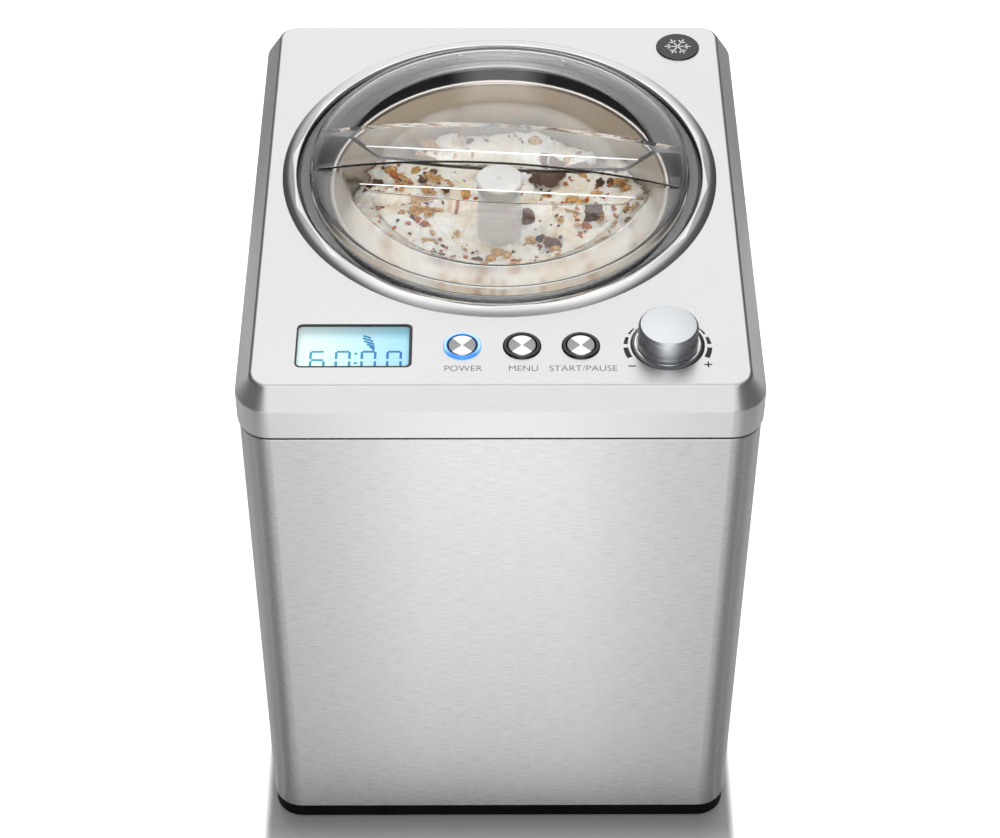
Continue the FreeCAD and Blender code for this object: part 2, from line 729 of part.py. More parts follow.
def make_cooling():
    cx, cy, radius = compressor
    plate_z = floor_z + grommet_height
    places = [(cx + dx, cy + dy) for dx in (-42, 42) for dy in (-42, 42)]
    save("compressor_grommets", Part.makeCompound([tube_ring(x, y, floor_z, plate_z, 8, 3) for x, y in places]))
    plate = round_box(cx - 54, cx + 54, cy - 54, cy + 54, plate_z, plate_z + 2.5, 10)
    save("compressor_base", plate.cut([cyl(x, y, plate_z - 1, plate_z + 4, 3.2) for x, y in places]))
    low = plate_z + 2.5
    high = low + compressor_height
    shell = turned([(0, low), (radius * 0.55, low), (radius * 0.9, low + 12), (radius, low + 26),
                    (radius, low + 48), (radius + 2.5, low + 48), (radius + 2.5, low + 51), (radius, low + 51),
                    (radius, high - 34), (radius * 0.93, high - 18), (radius * 0.74, high - 7),
                    (radius * 0.42, high - 1), (0, high)], cx, cy)
    save("compressor_shell", shell)
    flat_y = cy - radius
    terminal = round_box(cx - 16, cx + 16, flat_y - 24, flat_y + 12, low + 56, low + 86, 4)
    wide = cyl(cx, cy, low + 50, low + 90, radius + 0.1)
    save("terminal_cover", terminal.cut(wide))

    fx, fz = fan_centre
    half = fan_r + 6
    ring = box(fx - half, fx + half, fan_front, fan_front + 24, fz - half, fz + half)
    ring = ring.cut(cyl_along((0, 1, 0), (fx, fan_front - 1, fz), 26, fan_r + 2))
    spokes = [box(fx - half + 2, fx + half - 2, fan_front, fan_front + 3, fz - 3, fz + 3),
              box(fx - 3, fx + 3, fan_front, fan_front + 3, fz - half + 2, fz + half - 2)]
    legs = [box(x - 4, x + 4, fan_front, fan_front + 24, floor_z, fz - half) for x in (fx - 40, fx + 40)]
    shroud = join([ring, cyl_along((0, 1, 0), (fx, fan_front, fz), 3, 16)] + spokes + legs)
    save("fan_shroud", shroud.cut(cyl_along((0, 1, 0), (fx, fan_front + 1.5, fz), 10, 3.2)))
    save("fan_motor", join([
        cyl_along((0, 1, 0), (fx, fan_front + 3, fz), 6, 13),
        cyl_along((0, 1, 0), (fx, fan_front + 9, fz), 10, 1.5),
    ]))
    rotor = cyl_along((0, 1, 0), (fx, fan_front + 9.6, fz), 11, 15)
    blades = []
    for number in range(7):
        blade = box(fx + 13, fx + fan_r - 0.5, fan_front + 14.2, fan_front + 15.6, fz - 10, fz + 10)
        blade.rotate(Vector(fx, fan_front + 15, fz), Vector(1, 0, 0), 24)
        blade.rotate(Vector(fx, 0, fz), Vector(0, 1, 0), number * 360 / 7)
        blades.append(blade)
    rotor = join([rotor] + blades)
    rotor = rotor.common(cyl_along((0, 1, 0), (fx, fan_front + 9.6, fz), 11, fan_r))
    save("fan_rotor", rotor.cut(cyl_along((0, 1, 0), (fx, fan_front + 9, fz), 12, 1.5 + running)))

    x0 = fx - half
    x1 = fx + half
    y0 = condenser_front
    middle = y0 + condenser_depth / 2
    runs = 7
    run_pitch = 14.0
    z0 = fz - run_pitch * (runs - 1) / 2
    levels = [z0 + number * run_pitch for number in range(runs)]
    holes = [cyl_along((1, 0, 0), (x0 - 4, middle, z), x1 - x0 + 8, 3 + snug) for z in levels]
    fins = []
    count = 18
    for number in range(count):
        x = x0 + 3 + number * (x1 - x0 - 6) / (count - 1)
        fin = box(x - 0.4, x + 0.4, y0, y0 + condenser_depth, fz - half, fz + half)
        fins.append(fin.cut(holes))
    for x in (x0 - 1.4, x1 + 0.2):
        fins.append(box(x, x + 1.2, y0, y0 + condenser_depth, floor_z, fz + half).cut(holes))
    save("condenser_fins", Part.makeCompound(fins))
    points = []
    for number, z in enumerate(levels):
        ends = [x0 - 12, x1 + 12]
        if number % 2:
            ends.reverse()
        points += [(ends[0], middle, z), (ends[1], middle, z)]
    inlet = (x1 + 12, middle, levels[-1] + 14)
    outlet = points[0]
    save("condenser_tube", pipe(points + [inlet], 3.0, 6.5))
    dx, dy, low, high = drier
    save("filter_drier", turned([(0, low), (3.5, low), (8, low + 10), (8, high - 10), (3.5, high), (0, high)], dx, dy))
    return shell, inlet, outlet


cooling = make_cooling()


def make_controls():
    x0, x1, y0, y1 = window
    edge = window_border
    hole = (x0 + edge, x1 - window_border_right, y0 + edge, y1 - edge)
    rim_z = top_z - bezel_rim
    panel_z = top_z - panel_drop
    rim = round_box(x0 + snug, x1 - snug, y0 + snug, y1 - snug, rim_z, top_z + snug, window_corner - snug)
    room = window_pocket - snug
    rear_room = window_pocket_rear - snug
    block = round_box(x0 - room, x1 + room, y0 - room, y1 + rear_room, panel_z, top_z - window_skin - snug,
                      window_corner - snug)
    room -= bezel_wall
    rear_room -= bezel_wall
    inside = round_box(x0 - room, x1 + room, y0 - room, y1 + rear_room, panel_z - 1, rim_z, window_corner - edge)
    bezel = join([rim, block]).cut([inside, round_box(*hole, panel_z - 1, top_z + 1, window_corner - edge)])
    save("display_bezel", bezel)
    room = window_pocket - snug
    rear_room = window_pocket_rear - snug
    panel_low = panel_z - panel_sheet
    module_low = panel_low - module_depth
    save("display_window", round_box(x0 - room, x1 + room, y0 - room, y1 + rear_room, panel_low, panel_z, 2))
    save("display_module", join([
        box(x0 - 2, x1 + 2, y0 - 2, y1 + rear_room - 0.5, module_low, panel_low),
        box(x0 + 4, x0 + 8, y0 + 4, y1 - 4, board_top, module_low),
        box(x1 - 8, x1 - 4, y0 + 4, y1 - 4, board_top, module_low),
    ]))
    board = box(-120, 120, -147, -101, board_top - board_sheet, board_top)
    board = board.cut([cyl(x, y, board_top - 3, board_top + 1, 1.3) for x, y in control_posts])
    save("control_board", board)
    switches = []
    for x in button_xs:
        switches.append(join([box(x - 3, x + 3, panel_y - 3, panel_y + 3, board_top, board_top + 3.5),
                              cyl(x, panel_y, board_top + 3.5, board_top + 4.3, 1.7)]))
    save("tact_switches", Part.makeCompound(switches))
    names = ("power_button", "menu_button", "start_button")
    stem_z = board_top + 4.3 + button_travel + fit
    for x, name in zip(button_xs, names):
        cap = turned([(0, stem_z), (2.5, stem_z), (2.5, top_z - 4), (button_r, top_z - 4),
                      (button_r, top_z + button_stand - 0.5), (button_r - 0.6, top_z + button_stand),
                      (0, top_z + button_stand - 0.2)], x, panel_y)
        save(name, cap)
    rings = []
    for x in button_xs:
        low = top_z - cover_wall - 3.0
        ring = turned([(button_r + fit, low), (button_ring_r + 2, low), (button_ring_r + 2, top_z - cover_wall - snug),
                       (button_ring_r, top_z - cover_wall - snug), (button_ring_r, top_z + 0.5),
                       (button_ring_r - 0.5, top_z + 0.9), (button_r + fit, top_z + 0.9)], x, panel_y)
        rings.append(ring)
    save("power_ring", rings[0])
    save("button_rings", Part.makeCompound(rings[1:]))

    inner = knob_r + knob_ring_gap
    outer = inner + knob_ring_width
    save("knob_ring", turned([(inner, top_z), (outer, top_z), (outer, top_z + knob_ring_edge),
                              (inner + 0.7, top_z + knob_ring_rise), (inner, top_z + knob_ring_rise)],
                             knob_x, knob_y))
    floor = top_z + 0.2
    head_top = top_z + knob_height
    head = turned([(0, floor + 4), (knob_r - 2, floor + 4), (knob_r - 2, floor + fit), (knob_r, floor + fit),
                   (knob_r, head_top - knob_chamfer), (knob_r - knob_chamfer, head_top), (0, head_top)],
                  knob_x, knob_y)
    hub = cyl(knob_x, knob_y, floor + 0.6, floor + 5, 6)
    bore = cyl(knob_x, knob_y, floor - 1, head_top - knob_roof, encoder_r + 0.02)
    save("control_knob", join([head, hub]).cut(bore))
    save("encoder_shaft", cyl(knob_x, knob_y, board_top + 8, head_top - knob_roof - 0.2, encoder_r))
    encoder = join([box(knob_x - 6.5, knob_x + 6.5, knob_y - 6.5, knob_y + 6.5, board_top, board_top + 7),
                    cyl(knob_x, knob_y, board_top + 7, top_z - cover_wall + 1.5, 4.6)])
    save("encoder", encoder.cut(cyl(knob_x, knob_y, board_top + 7.5, top_z + 5, encoder_r + running)))

    bx, by, br = badge
    save("badge_disc", turned([(0, top_z), (br, top_z), (br, top_z + 0.4), (br - 0.4, top_z + 0.8),
                               (0, top_z + 0.8)], bx, by))

    screws = [pan_screw(x, rear_y - 1.8, z, (0, -1, 0), 10, 1.5, 3.5, 1.4) for x, z in rear_screws]
    for x, y in control_posts:
        screws.append(pan_screw(x, y, board_top - board_sheet, (0, 0, 1), 8, 1.1, 2.6, 1.6))
    save("case_screws", Part.makeCompound(screws))
    low = floor_z + board_lift
    power = box(-112, -16, -142, -66, low, low + board_sheet)
    save("power_board", power.cut([cyl(x, y, low - 1, low + 3, 1.4) for x, y in board_posts]))
    top = low + board_sheet
    save("power_parts", Part.makeCompound([
        box(-100, -66, -128, -96, top, top + 28), box(-56, -40, -128, -112, top, top + 16),
        cyl(-30, -104, top, top + 26, 8), cyl(-48, -88, top, top + 22, 6), box(-98, -78, -86, -74, top, top + 14),
    ]))


make_controls()


def make_lines():
    cx, cy, radius = compressor
    shell, inlet, outlet = cooling
    dx, dy, drier_low, drier_high = drier
    high = floor_z + grommet_height + 2.5 + compressor_height
    coil_low = chamber_floor + coil_lift
    coil_high = coil_low + (coil_rings - 1) * coil_pitch
    start_y = axis_y + coil_ring_r
    coils = [Part.makeTorus(coil_ring_r, coil_r, Vector(0, axis_y, z)) for z in (coil_low, coil_high)]
    drop_y = axis_y + foam_r + 3.0
    over = high + 8
    suction = pipe([(-7, start_y, coil_high), (-7, drop_y, coil_high), (-7, drop_y, over + 7.5),
                    (-30, dy + 8, over + 7.5), (-30, cy + 8, over + 7.5), (-30, cy + 8, high - 20)], 3.0, 6.0)
    suction = suction.cut([coils[1], shell])
    discharge = pipe([(cx - 4, cy, high - 6), (cx - 4, cy, over), (cx - 4, inlet[1], over),
                      (inlet[0], inlet[1], over), inlet], 2.5, 6.0).cut(shell)
    liquid = pipe([outlet, (dx, outlet[1], outlet[2]), (dx, dy, outlet[2]), (dx, dy, drier_low)], 2.5, 5.0)
    save("refrigerant_lines", Part.makeCompound([suction, discharge, liquid]))
    thin = pipe([(7, start_y, coil_low), (7, drop_y, coil_low), (7, drop_y, drier_high + 10),
                 (dx, dy, drier_high + 10), (dx, dy, drier_high)], 1.6, 3.5)
    save("capillary", thin.cut(coils[0]))


make_lines()
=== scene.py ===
import bpy
import json
import math
import random
from mathutils import Matrix, Vector, noise
from mathutils.bvhtree import BVHTree

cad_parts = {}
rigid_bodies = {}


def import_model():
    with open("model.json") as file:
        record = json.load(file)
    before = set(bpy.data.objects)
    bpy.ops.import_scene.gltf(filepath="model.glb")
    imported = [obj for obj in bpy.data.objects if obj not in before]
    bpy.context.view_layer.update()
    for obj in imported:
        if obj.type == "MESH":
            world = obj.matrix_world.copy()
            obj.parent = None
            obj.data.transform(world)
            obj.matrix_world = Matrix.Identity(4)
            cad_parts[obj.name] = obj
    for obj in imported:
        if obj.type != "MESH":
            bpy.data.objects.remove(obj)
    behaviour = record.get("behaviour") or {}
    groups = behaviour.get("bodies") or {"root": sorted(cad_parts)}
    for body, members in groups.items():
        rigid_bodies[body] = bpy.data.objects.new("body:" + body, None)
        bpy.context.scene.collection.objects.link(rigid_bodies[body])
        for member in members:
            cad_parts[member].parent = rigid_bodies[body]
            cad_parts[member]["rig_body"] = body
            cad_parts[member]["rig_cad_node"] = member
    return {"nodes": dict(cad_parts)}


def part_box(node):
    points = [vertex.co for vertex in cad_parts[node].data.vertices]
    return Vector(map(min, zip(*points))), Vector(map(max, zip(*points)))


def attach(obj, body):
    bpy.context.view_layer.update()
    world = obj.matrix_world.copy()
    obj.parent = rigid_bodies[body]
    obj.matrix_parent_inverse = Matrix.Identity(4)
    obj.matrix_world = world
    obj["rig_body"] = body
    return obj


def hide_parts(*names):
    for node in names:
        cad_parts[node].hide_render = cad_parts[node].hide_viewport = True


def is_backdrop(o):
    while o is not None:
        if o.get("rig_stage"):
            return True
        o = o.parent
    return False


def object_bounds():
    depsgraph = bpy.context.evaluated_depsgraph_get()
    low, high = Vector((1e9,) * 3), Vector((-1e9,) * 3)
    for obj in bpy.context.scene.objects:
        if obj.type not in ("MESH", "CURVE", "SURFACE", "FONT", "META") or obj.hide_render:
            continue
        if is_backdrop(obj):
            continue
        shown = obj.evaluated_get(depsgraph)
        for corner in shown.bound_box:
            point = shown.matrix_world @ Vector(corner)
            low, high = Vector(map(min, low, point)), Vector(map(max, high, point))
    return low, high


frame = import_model()
cadLow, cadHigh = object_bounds()
mm = 0.001
nodes = frame["nodes"]
print("frame loaded:", len(nodes), "nodes")

# places read from the frame, in metres
bowlLow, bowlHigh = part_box("mixing_bowl")
collarLow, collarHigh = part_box("bowl_collar")
windowLow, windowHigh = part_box("display_window")
knobLow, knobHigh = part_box("control_knob")
badgeLow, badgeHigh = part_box("badge_disc")
axisY = (collarLow.y + collarHigh.y) / 2
topZ = badgeLow.z


# small helpers
def hexColour(text):
    # sRGB hex to the linear colour that shaders take
    channels = [int(text[i:i + 2], 16) / 255 for i in (1, 3, 5)]
    linear = [c / 12.92 if c <= 0.04045 else ((c + 0.055) / 1.055) ** 2.4 for c in channels]
    return (*linear, 1.0)


def firstOutput(source):
    # a node stands for its first output
    return source.outputs[0] if hasattr(source, "outputs") else source


def linkInput(node, name, source):
    node.id_data.links.new(firstOutput(source), node.inputs[name])


def addNode(tree, kind, settings=None, links=None):
    # settings: attributes or input values by name; links: input name to a socket or a node
    node = tree.nodes.new(kind)
    for key, value in (settings or {}).items():
        if isinstance(key, str) and hasattr(node, key):
            setattr(node, key, value)
        else:
            node.inputs[key].default_value = value
    for key, source in (links or {}).items():
        linkInput(node, key, source)
    return node


def startMaterial(name, **values):
    # Principled material; values are given with words joined, such as baseColour
    labels = {
        "baseColour": "Base Color", "metallic": "Metallic", "roughness": "Roughness", "ior": "IOR",
        "transmission": "Transmission Weight", "anisotropic": "Anisotropic",
        "quarterTurn": "Anisotropic Rotation",
        "subsurface": "Subsurface Weight", "subsurfaceScale": "Subsurface Scale",
        "emission": "Emission Color", "emissionStrength": "Emission Strength",
    }
    material = bpy.data.materials.new(name)
    material.use_nodes = True
    tree = material.node_tree
    shader = tree.nodes["Principled BSDF"]
    for key, value in values.items():
        shader.inputs[labels[key]].default_value = value
    return material, tree, shader


def rampNode(tree, socket, stops):
    # stops are places with a hex colour or a linear one
    ramp = addNode(tree, "ShaderNodeValToRGB", links={"Fac": socket})
    elements = ramp.color_ramp.elements
    while len(elements) < len(stops):
        elements.new(0.5)
    for element, (place, colour) in zip(elements, stops):
        element.position = place
        element.color = hexColour(colour) if isinstance(colour, str) else colour
    return ramp


def mathNode(tree, operation, *terms):
    # a term is a number, a socket, or a node that stands for its first output
    node = addNode(tree, "ShaderNodeMath", {"operation": operation})
    for index, term in enumerate(terms):
        if isinstance(term, (int, float)):
            node.inputs[index].default_value = term
        else:
            linkInput(node, index, term)
    return node


def mapNode(tree, value, low, high, toLow=0.0, toHigh=1.0):
    limits = {"From Min": low, "From Max": high, "To Min": toLow, "To Max": toHigh}
    return addNode(tree, "ShaderNodeMapRange", limits, {"Value": value})


def mixColour(tree, share, first, second, blend="MIX"):
    # no share means a full one; a colour is linear, or a node or socket
    node = addNode(tree, "ShaderNodeMix", {"data_type": "RGBA", "blend_type": blend},
                   {0: share} if share else None)
    for index, colour in ((6, first), (7, second)):
        if isinstance(colour, tuple):
            node.inputs[index].default_value = colour
        else:
            linkInput(node, index, colour)
    if not share:
        node.inputs[0].default_value = 1.0
    return node.outputs[2]


def shadeOf(colour, low, high):
    # a darker and a lighter shade of a linear colour
    return tuple(tuple(min(1, c * share) for c in colour[:3]) + (1,) for share in (low, high))


def objectPoint(tree, scale=(1, 1, 1), location=(0, 0, 0)):
    # Object coordinates in metres, scaled so that one unit is one grain
    point = addNode(tree, "ShaderNodeTexCoord")
    settings = {"Scale": scale, "Location": location}
    return addNode(tree, "ShaderNodeMapping", settings, {"Vector": point.outputs["Object"]})


def noiseNode(tree, scale, detail, roughness=0.5, point=None):
    settings = {"Scale": scale, "Detail": detail, "Roughness": roughness}
    return addNode(tree, "ShaderNodeTexNoise", settings, {"Vector": point or objectPoint(tree)})


def radialParts(tree, location):
    # the parts of a point moved by location, and its distance from the vertical axis there
    point = objectPoint(tree, location=location)
    parts = addNode(tree, "ShaderNodeSeparateXYZ", links={"Vector": point})
    flat = addNode(tree, "ShaderNodeCombineXYZ", links={"X": parts.outputs["X"], "Y": parts.outputs["Y"]})
    return parts, addNode(tree, "ShaderNodeVectorMath", {"operation": "LENGTH"}, {0: flat})


def linkBump(tree, shader, height, strength, distance):
    # distance in mm
    settings = {"Strength": strength, "Distance": distance * mm}
    bump = addNode(tree, "ShaderNodeBump", settings, {"Height": height})
    linkInput(shader, "Normal", bump)


def deselectAll():
    if bpy.context.object and bpy.context.object.mode != "OBJECT":
        bpy.ops.object.mode_set(mode="OBJECT")
    bpy.ops.object.select_all(action="DESELECT")


def makeActive(piece):
    deselectAll()
    piece.select_set(True)
    bpy.context.view_layer.objects.active = piece


def newPiece(name):
    # the primitive that was just added, under its own name, with its place in its mesh
    piece = bpy.context.object
    piece.name = name
    piece.data.name = name
    bpy.ops.object.transform_apply(location=True, rotation=True, scale=True)
    return piece


def mendMesh(piece, distance=1e-6):
    makeActive(piece)
    bpy.ops.object.mode_set(mode="EDIT")
    bpy.ops.mesh.select_all(action="SELECT")
    bpy.ops.mesh.remove_doubles(threshold=distance)
    bpy.ops.mesh.normals_make_consistent(inside=False)
    bpy.ops.object.mode_set(mode="OBJECT")


def applyModifier(piece, kind, **settings):
    makeActive(piece)
    modifier = piece.modifiers.new(kind.title(), kind)
    for key, value in settings.items():
        setattr(modifier, key, value)
    bpy.ops.object.modifier_apply(modifier=modifier.name)


def cutWith(piece, tool, operation="DIFFERENCE"):
    applyModifier(piece, "BOOLEAN", object=tool, operation=operation, solver="EXACT")
    bpy.data.objects.remove(tool)


def joinPieces(pieces, name):
    deselectAll()
    for piece in pieces:
        piece.select_set(True)
    bpy.context.view_layer.objects.active = pieces[0]
    bpy.ops.object.join()
    joined = bpy.context.object
    joined.name = name
    return joined


def smoothPiece(piece, degrees=30):
    makeActive(piece)
    bpy.ops.object.shade_smooth_by_angle(angle=math.radians(degrees))


def turnOutline(name, outline, steps=160, centre=(0.0, 0.0)):
    # closed outline of (radius, height) points in mm, turned about a vertical axis
    deselectAll()
    bpy.ops.mesh.primitive_circle_add(vertices=len(outline), radius=1)
    piece = newPiece(name)
    for vertex, (radius, height) in zip(piece.data.vertices, outline):
        vertex.co = (centre[0] + radius * mm, centre[1], height * mm)
    bpy.ops.object.mode_set(mode="EDIT")
    bpy.ops.mesh.select_all(action="SELECT")
    bpy.ops.mesh.spin(steps=steps, angle=2 * math.pi, center=(centre[0], centre[1], 0), axis=(0, 0, 1))
    bpy.ops.object.mode_set(mode="OBJECT")
    mendMesh(piece)
    return piece


def arcPoints(centreR, centreZ, radius, startDegrees, endDegrees, count):
    points = []
    for step in range(count + 1):
        angle = math.radians(startDegrees + (endDegrees - startDegrees) * step / count)
        points.append((centreR + radius * math.cos(angle), centreZ + radius * math.sin(angle)))
    return points


def addCylinder(name, centre, radius, depth, vertices=128, rotation=(0, 0, 0)):
    deselectAll()
    bpy.ops.mesh.primitive_cylinder_add(vertices=vertices, radius=radius, depth=depth, location=centre,
                                        rotation=rotation)
    return newPiece(name)


def addBlock(name, low, high):
    deselectAll()
    low, high = Vector(low), Vector(high)
    bpy.ops.mesh.primitive_cube_add(size=1, location=(low + high) / 2, scale=high - low)
    return newPiece(name)


def flatBar(name, centre, halfSize, z, thickness):
    # centre, half size and thickness in mm, z in metres
    low = Vector(((centre[0] - halfSize[0]) * mm, (centre[1] - halfSize[1]) * mm, z))
    high = Vector(((centre[0] + halfSize[0]) * mm, (centre[1] + halfSize[1]) * mm, z + thickness * mm))
    return addBlock(name, low, high)


def dressPiece(piece, body, material, replaced=()):
    piece.data.materials.clear()
    piece.data.materials.append(material)
    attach(piece, body)
    if replaced:
        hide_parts(*replaced)
    return piece


def dressNode(node, material):
    mesh = nodes[node].data
    mesh.materials.clear()
    mesh.materials.append(material)


def softenNode(node, radius, angle=28, segments=2):
    # a copy of a CAD node with its sharp edges rounded
    piece = nodes[node].copy()
    piece.data = nodes[node].data.copy()
    piece.parent = None
    piece.name = node + "_finished"
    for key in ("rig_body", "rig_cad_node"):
        if key in piece:
            del piece[key]
    bpy.context.scene.collection.objects.link(piece)
    mendMesh(piece, 2e-6)
    bpy.ops.object.mode_set(mode="EDIT")
    bpy.ops.mesh.select_all(action="SELECT")
    bpy.ops.mesh.dissolve_limited(angle_limit=math.radians(0.6))
    bpy.ops.object.mode_set(mode="OBJECT")
    applyModifier(piece, "BEVEL", width=radius * mm, segments=segments, limit_method="ANGLE",
                  angle_limit=math.radians(angle), miter_outer="MITER_ARC", harden_normals=False,
                  use_clamp_overlap=True)
    smoothPiece(piece, 35)
    return piece


# camera
cameraView = {"place": (-6.11, -1070.11, 1259.9), "down": 44.45, "turn": 0.494, "roll": 0.264,
              "lens": 91.37, "shiftX": -0.0045, "shiftY": -0.0319}


def makeCamera(values):
    down, turn, roll = (math.radians(values[key]) for key in ("down", "turn", "roll"))
    forward = Vector((math.sin(turn) * math.cos(down), math.cos(turn) * math.cos(down), -math.sin(down)))
    right = Vector((math.cos(turn), -math.sin(turn), 0))
    up = right.cross(forward)
    right, up = right * math.cos(roll) + up * math.sin(roll), up * math.cos(roll) - right * math.sin(roll)
    data = bpy.data.cameras.new("camera")
    data.lens = values["lens"]
    data.sensor_width = 36
    data.shift_x = values["shiftX"]
    data.shift_y = values["shiftY"]
    data.clip_start = 0.01
    camera = bpy.data.objects.new("camera", data)
    bpy.context.scene.collection.objects.link(camera)
    turnMatrix = Matrix((right, up, -forward)).transposed().to_4x4()
    camera.matrix_world = Matrix.Translation(Vector(values["place"]) * mm) @ turnMatrix
    bpy.context.scene.camera = camera


makeCamera(cameraView)

# studio: flags darken the sky by how far to the side it lies, and heights set it by how high. The cards give
# the sweep's brightness in reflections, by the share of a half turn from straight ahead of a front corner
studio = {
    "floorSize": 5.0, "floorColour": "#ececec", "paperShade": "#b2b2b2", "floorGlow": 1.5, "paintedShadowReach": 0.05,
    "sideStretch": 8.0, "worldStrength": 1.72, "keyPower": 7, "frontPower": 3, "bounces": 32,
    "flags": ((0.2, (1, 1, 1, 1)), (0.42, (0.08, 0.08, 0.085, 1))),
    "heights": ((0.4, 0.71), (0.52, 0.66), (0.62, 0.72), (0.74, 1.0), (0.88, 1.0), (0.99, 0.25)),
    "cornerX": 0.119, "cornerY": 0.14,
    "leftCard": ((0.02, "#f2f2f2"), (0.22, "#404042"), (0.3, "#2a2a2c"), (0.31, "#a0a0a2"), (0.45, "#8f8f91"),
                 (0.6, "#757577")),
    "rightCard": ((0.02, "#f2f2f2"), (0.22, "#404042"), (0.3, "#2a2a2c"), (0.31, "#b0b0b2"),
                  (0.34, "#646466"), (0.6, "#757577")),
    # start and end in metres, and the brightness at the dim end
    "nearFade": (0.1, 0.45, 0.49), "wideFade": (0.05, 0.13, 0.58),
}


def makeWorld(values):
    world = bpy.data.worlds.new("soft studio")
    world.use_nodes = True
    bpy.context.scene.world = world
    tree = world.node_tree
    tree.nodes.clear()
    point = addNode(tree, "ShaderNodeTexCoord")
    parts = addNode(tree, "ShaderNodeSeparateXYZ", links={"Vector": point.outputs["Generated"]})
    side = mathNode(tree, "ABSOLUTE", parts.outputs["X"])
    # bright in front and behind, dark flags at both sides and a dimmer patch straight above
    flags = rampNode(tree, side, values["flags"])
    heights = [(place, (level, level, level, 1)) for place, level in values["heights"]]
    levels = rampNode(tree, parts.outputs["Z"], heights)
    sky = mixColour(tree, None, flags, levels, "MULTIPLY")
    path = addNode(tree, "ShaderNodeLightPath")
    seen = mixColour(tree, path.outputs["Is Camera Ray"], sky, (1, 1, 1, 1))
    background = addNode(tree, "ShaderNodeBackground", {"Strength": values["worldStrength"]}, {"Color": seen})
    addNode(tree, "ShaderNodeOutputWorld", links={"Surface": background})


def makeFloor(values):
    deselectAll()
    bpy.ops.mesh.primitive_plane_add(size=values["floorSize"])
    floor = newPiece("floor")
    material, tree, shader = startMaterial("pale paper sweep", baseColour=hexColour(values["paperShade"]),
                                           roughness=0.9)
    point = addNode(tree, "ShaderNodeTexCoord")
    parts = addNode(tree, "ShaderNodeSeparateXYZ", links={"Vector": point.outputs["Object"]})
    side = mathNode(tree, "ABSOLUTE", parts.outputs["X"])
    # away from the front the sweep is flagged off, as only reflections meet it
    outX = mathNode(tree, "SUBTRACT", side, values["cornerX"])
    outY = mathNode(tree, "MULTIPLY_ADD", parts.outputs["Y"], -1.0, -values["cornerY"])
    turn = mathNode(tree, "ARCTAN2", outX, outY)
    share = mathNode(tree, "DIVIDE", turn, math.pi)
    left = rampNode(tree, share, values["leftCard"])
    right = rampNode(tree, share, values["rightCard"])
    isRight = mathNode(tree, "GREATER_THAN", parts.outputs["X"], 0.0)
    card = mixColour(tree, isRight, left, right)
    # and it is dimmer close to the object and out of line with it
    nearStart, nearEnd, nearLevel = values["nearFade"]
    wideStart, wideEnd, wideLevel = values["wideFade"]
    near = mapNode(tree, outY, nearStart, nearEnd, nearLevel, 1.0)
    wide = mapNode(tree, side, wideStart, wideEnd, 1.0, wideLevel)
    both = mathNode(tree, "MULTIPLY", near, wide)
    behind = mathNode(tree, "GREATER_THAN", outY, 0.0)
    dimmed = addNode(tree, "ShaderNodeMix", {"data_type": "FLOAT", 2: 1.0}, {0: behind, 3: both})
    card = addNode(tree, "ShaderNodeVectorMath", {"operation": "SCALE"}, {0: card, "Scale": dimmed})
    path = addNode(tree, "ShaderNodeLightPath")
    shown = mixColour(tree, path.outputs["Is Camera Ray"], card, hexColour(values["floorColour"]))
    # the sweep glows as if lit through from below, apart from a soft patch under and beside the object where
    # the glow fades: a painted shadow
    halfX = (cadHigh.x - cadLow.x) / 2
    halfY = (cadHigh.y - cadLow.y) / 2
    beyond = []
    for axis, half, stretch in (("X", halfX, values["sideStretch"]), ("Y", halfY, 1.0)):
        away = mathNode(tree, "ABSOLUTE", parts.outputs[axis])
        past = mathNode(tree, "SUBTRACT", away, half)
        scaled = mathNode(tree, "MULTIPLY", past, stretch)
        beyond.append(mathNode(tree, "MAXIMUM", scaled, 0.0))
    corner = addNode(tree, "ShaderNodeCombineXYZ", links=dict(zip("XY", beyond)))
    gap = addNode(tree, "ShaderNodeVectorMath", {"operation": "LENGTH"}, {0: corner})
    share = mapNode(tree, gap.outputs["Value"], 0.0, values["paintedShadowReach"])
    bent = mathNode(tree, "POWER", share, 2.0)
    glow = mathNode(tree, "MULTIPLY", bent, values["floorGlow"])
    linkInput(shader, "Emission Color", shown)
    linkInput(shader, "Emission Strength", glow)
    floor.data.materials.append(material)
    floor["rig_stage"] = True


def makeLights(values):
    for name, place, size, power in (
        ("overhead softbox", (0, 0.55, 1.75), (1.5, 1.2), values["keyPower"]),
        ("front softbox", (0.1, -1.5, 1.5), (1.2, 0.8), values["frontPower"]),
    ):
        data = bpy.data.lights.new(name, "AREA")
        data.shape = "RECTANGLE"
        data.size, data.size_y = size
        data.energy = power
        light = bpy.data.objects.new(name, data)
        bpy.context.scene.collection.objects.link(light)
        light.location = place
        light.visible_glossy = False
        light.rotation_euler = (Vector((0, 0, 0.3)) - Vector(place)).to_track_quat("-Z", "Y").to_euler()


def setView(values):
    scene = bpy.context.scene
    scene.view_settings.view_transform = "Standard"
    scene.view_settings.look = "None"
    # the hollow lid needs many bounces, or its edges end in black
    scene.cycles.max_bounces = values["bounces"]
    scene.cycles.transmission_bounces = values["bounces"]
    scene.cycles.transparent_max_bounces = values["bounces"]


for makePart in (setView, makeWorld, makeFloor, makeLights):
    makePart(studio)
print("camera and studio ready")


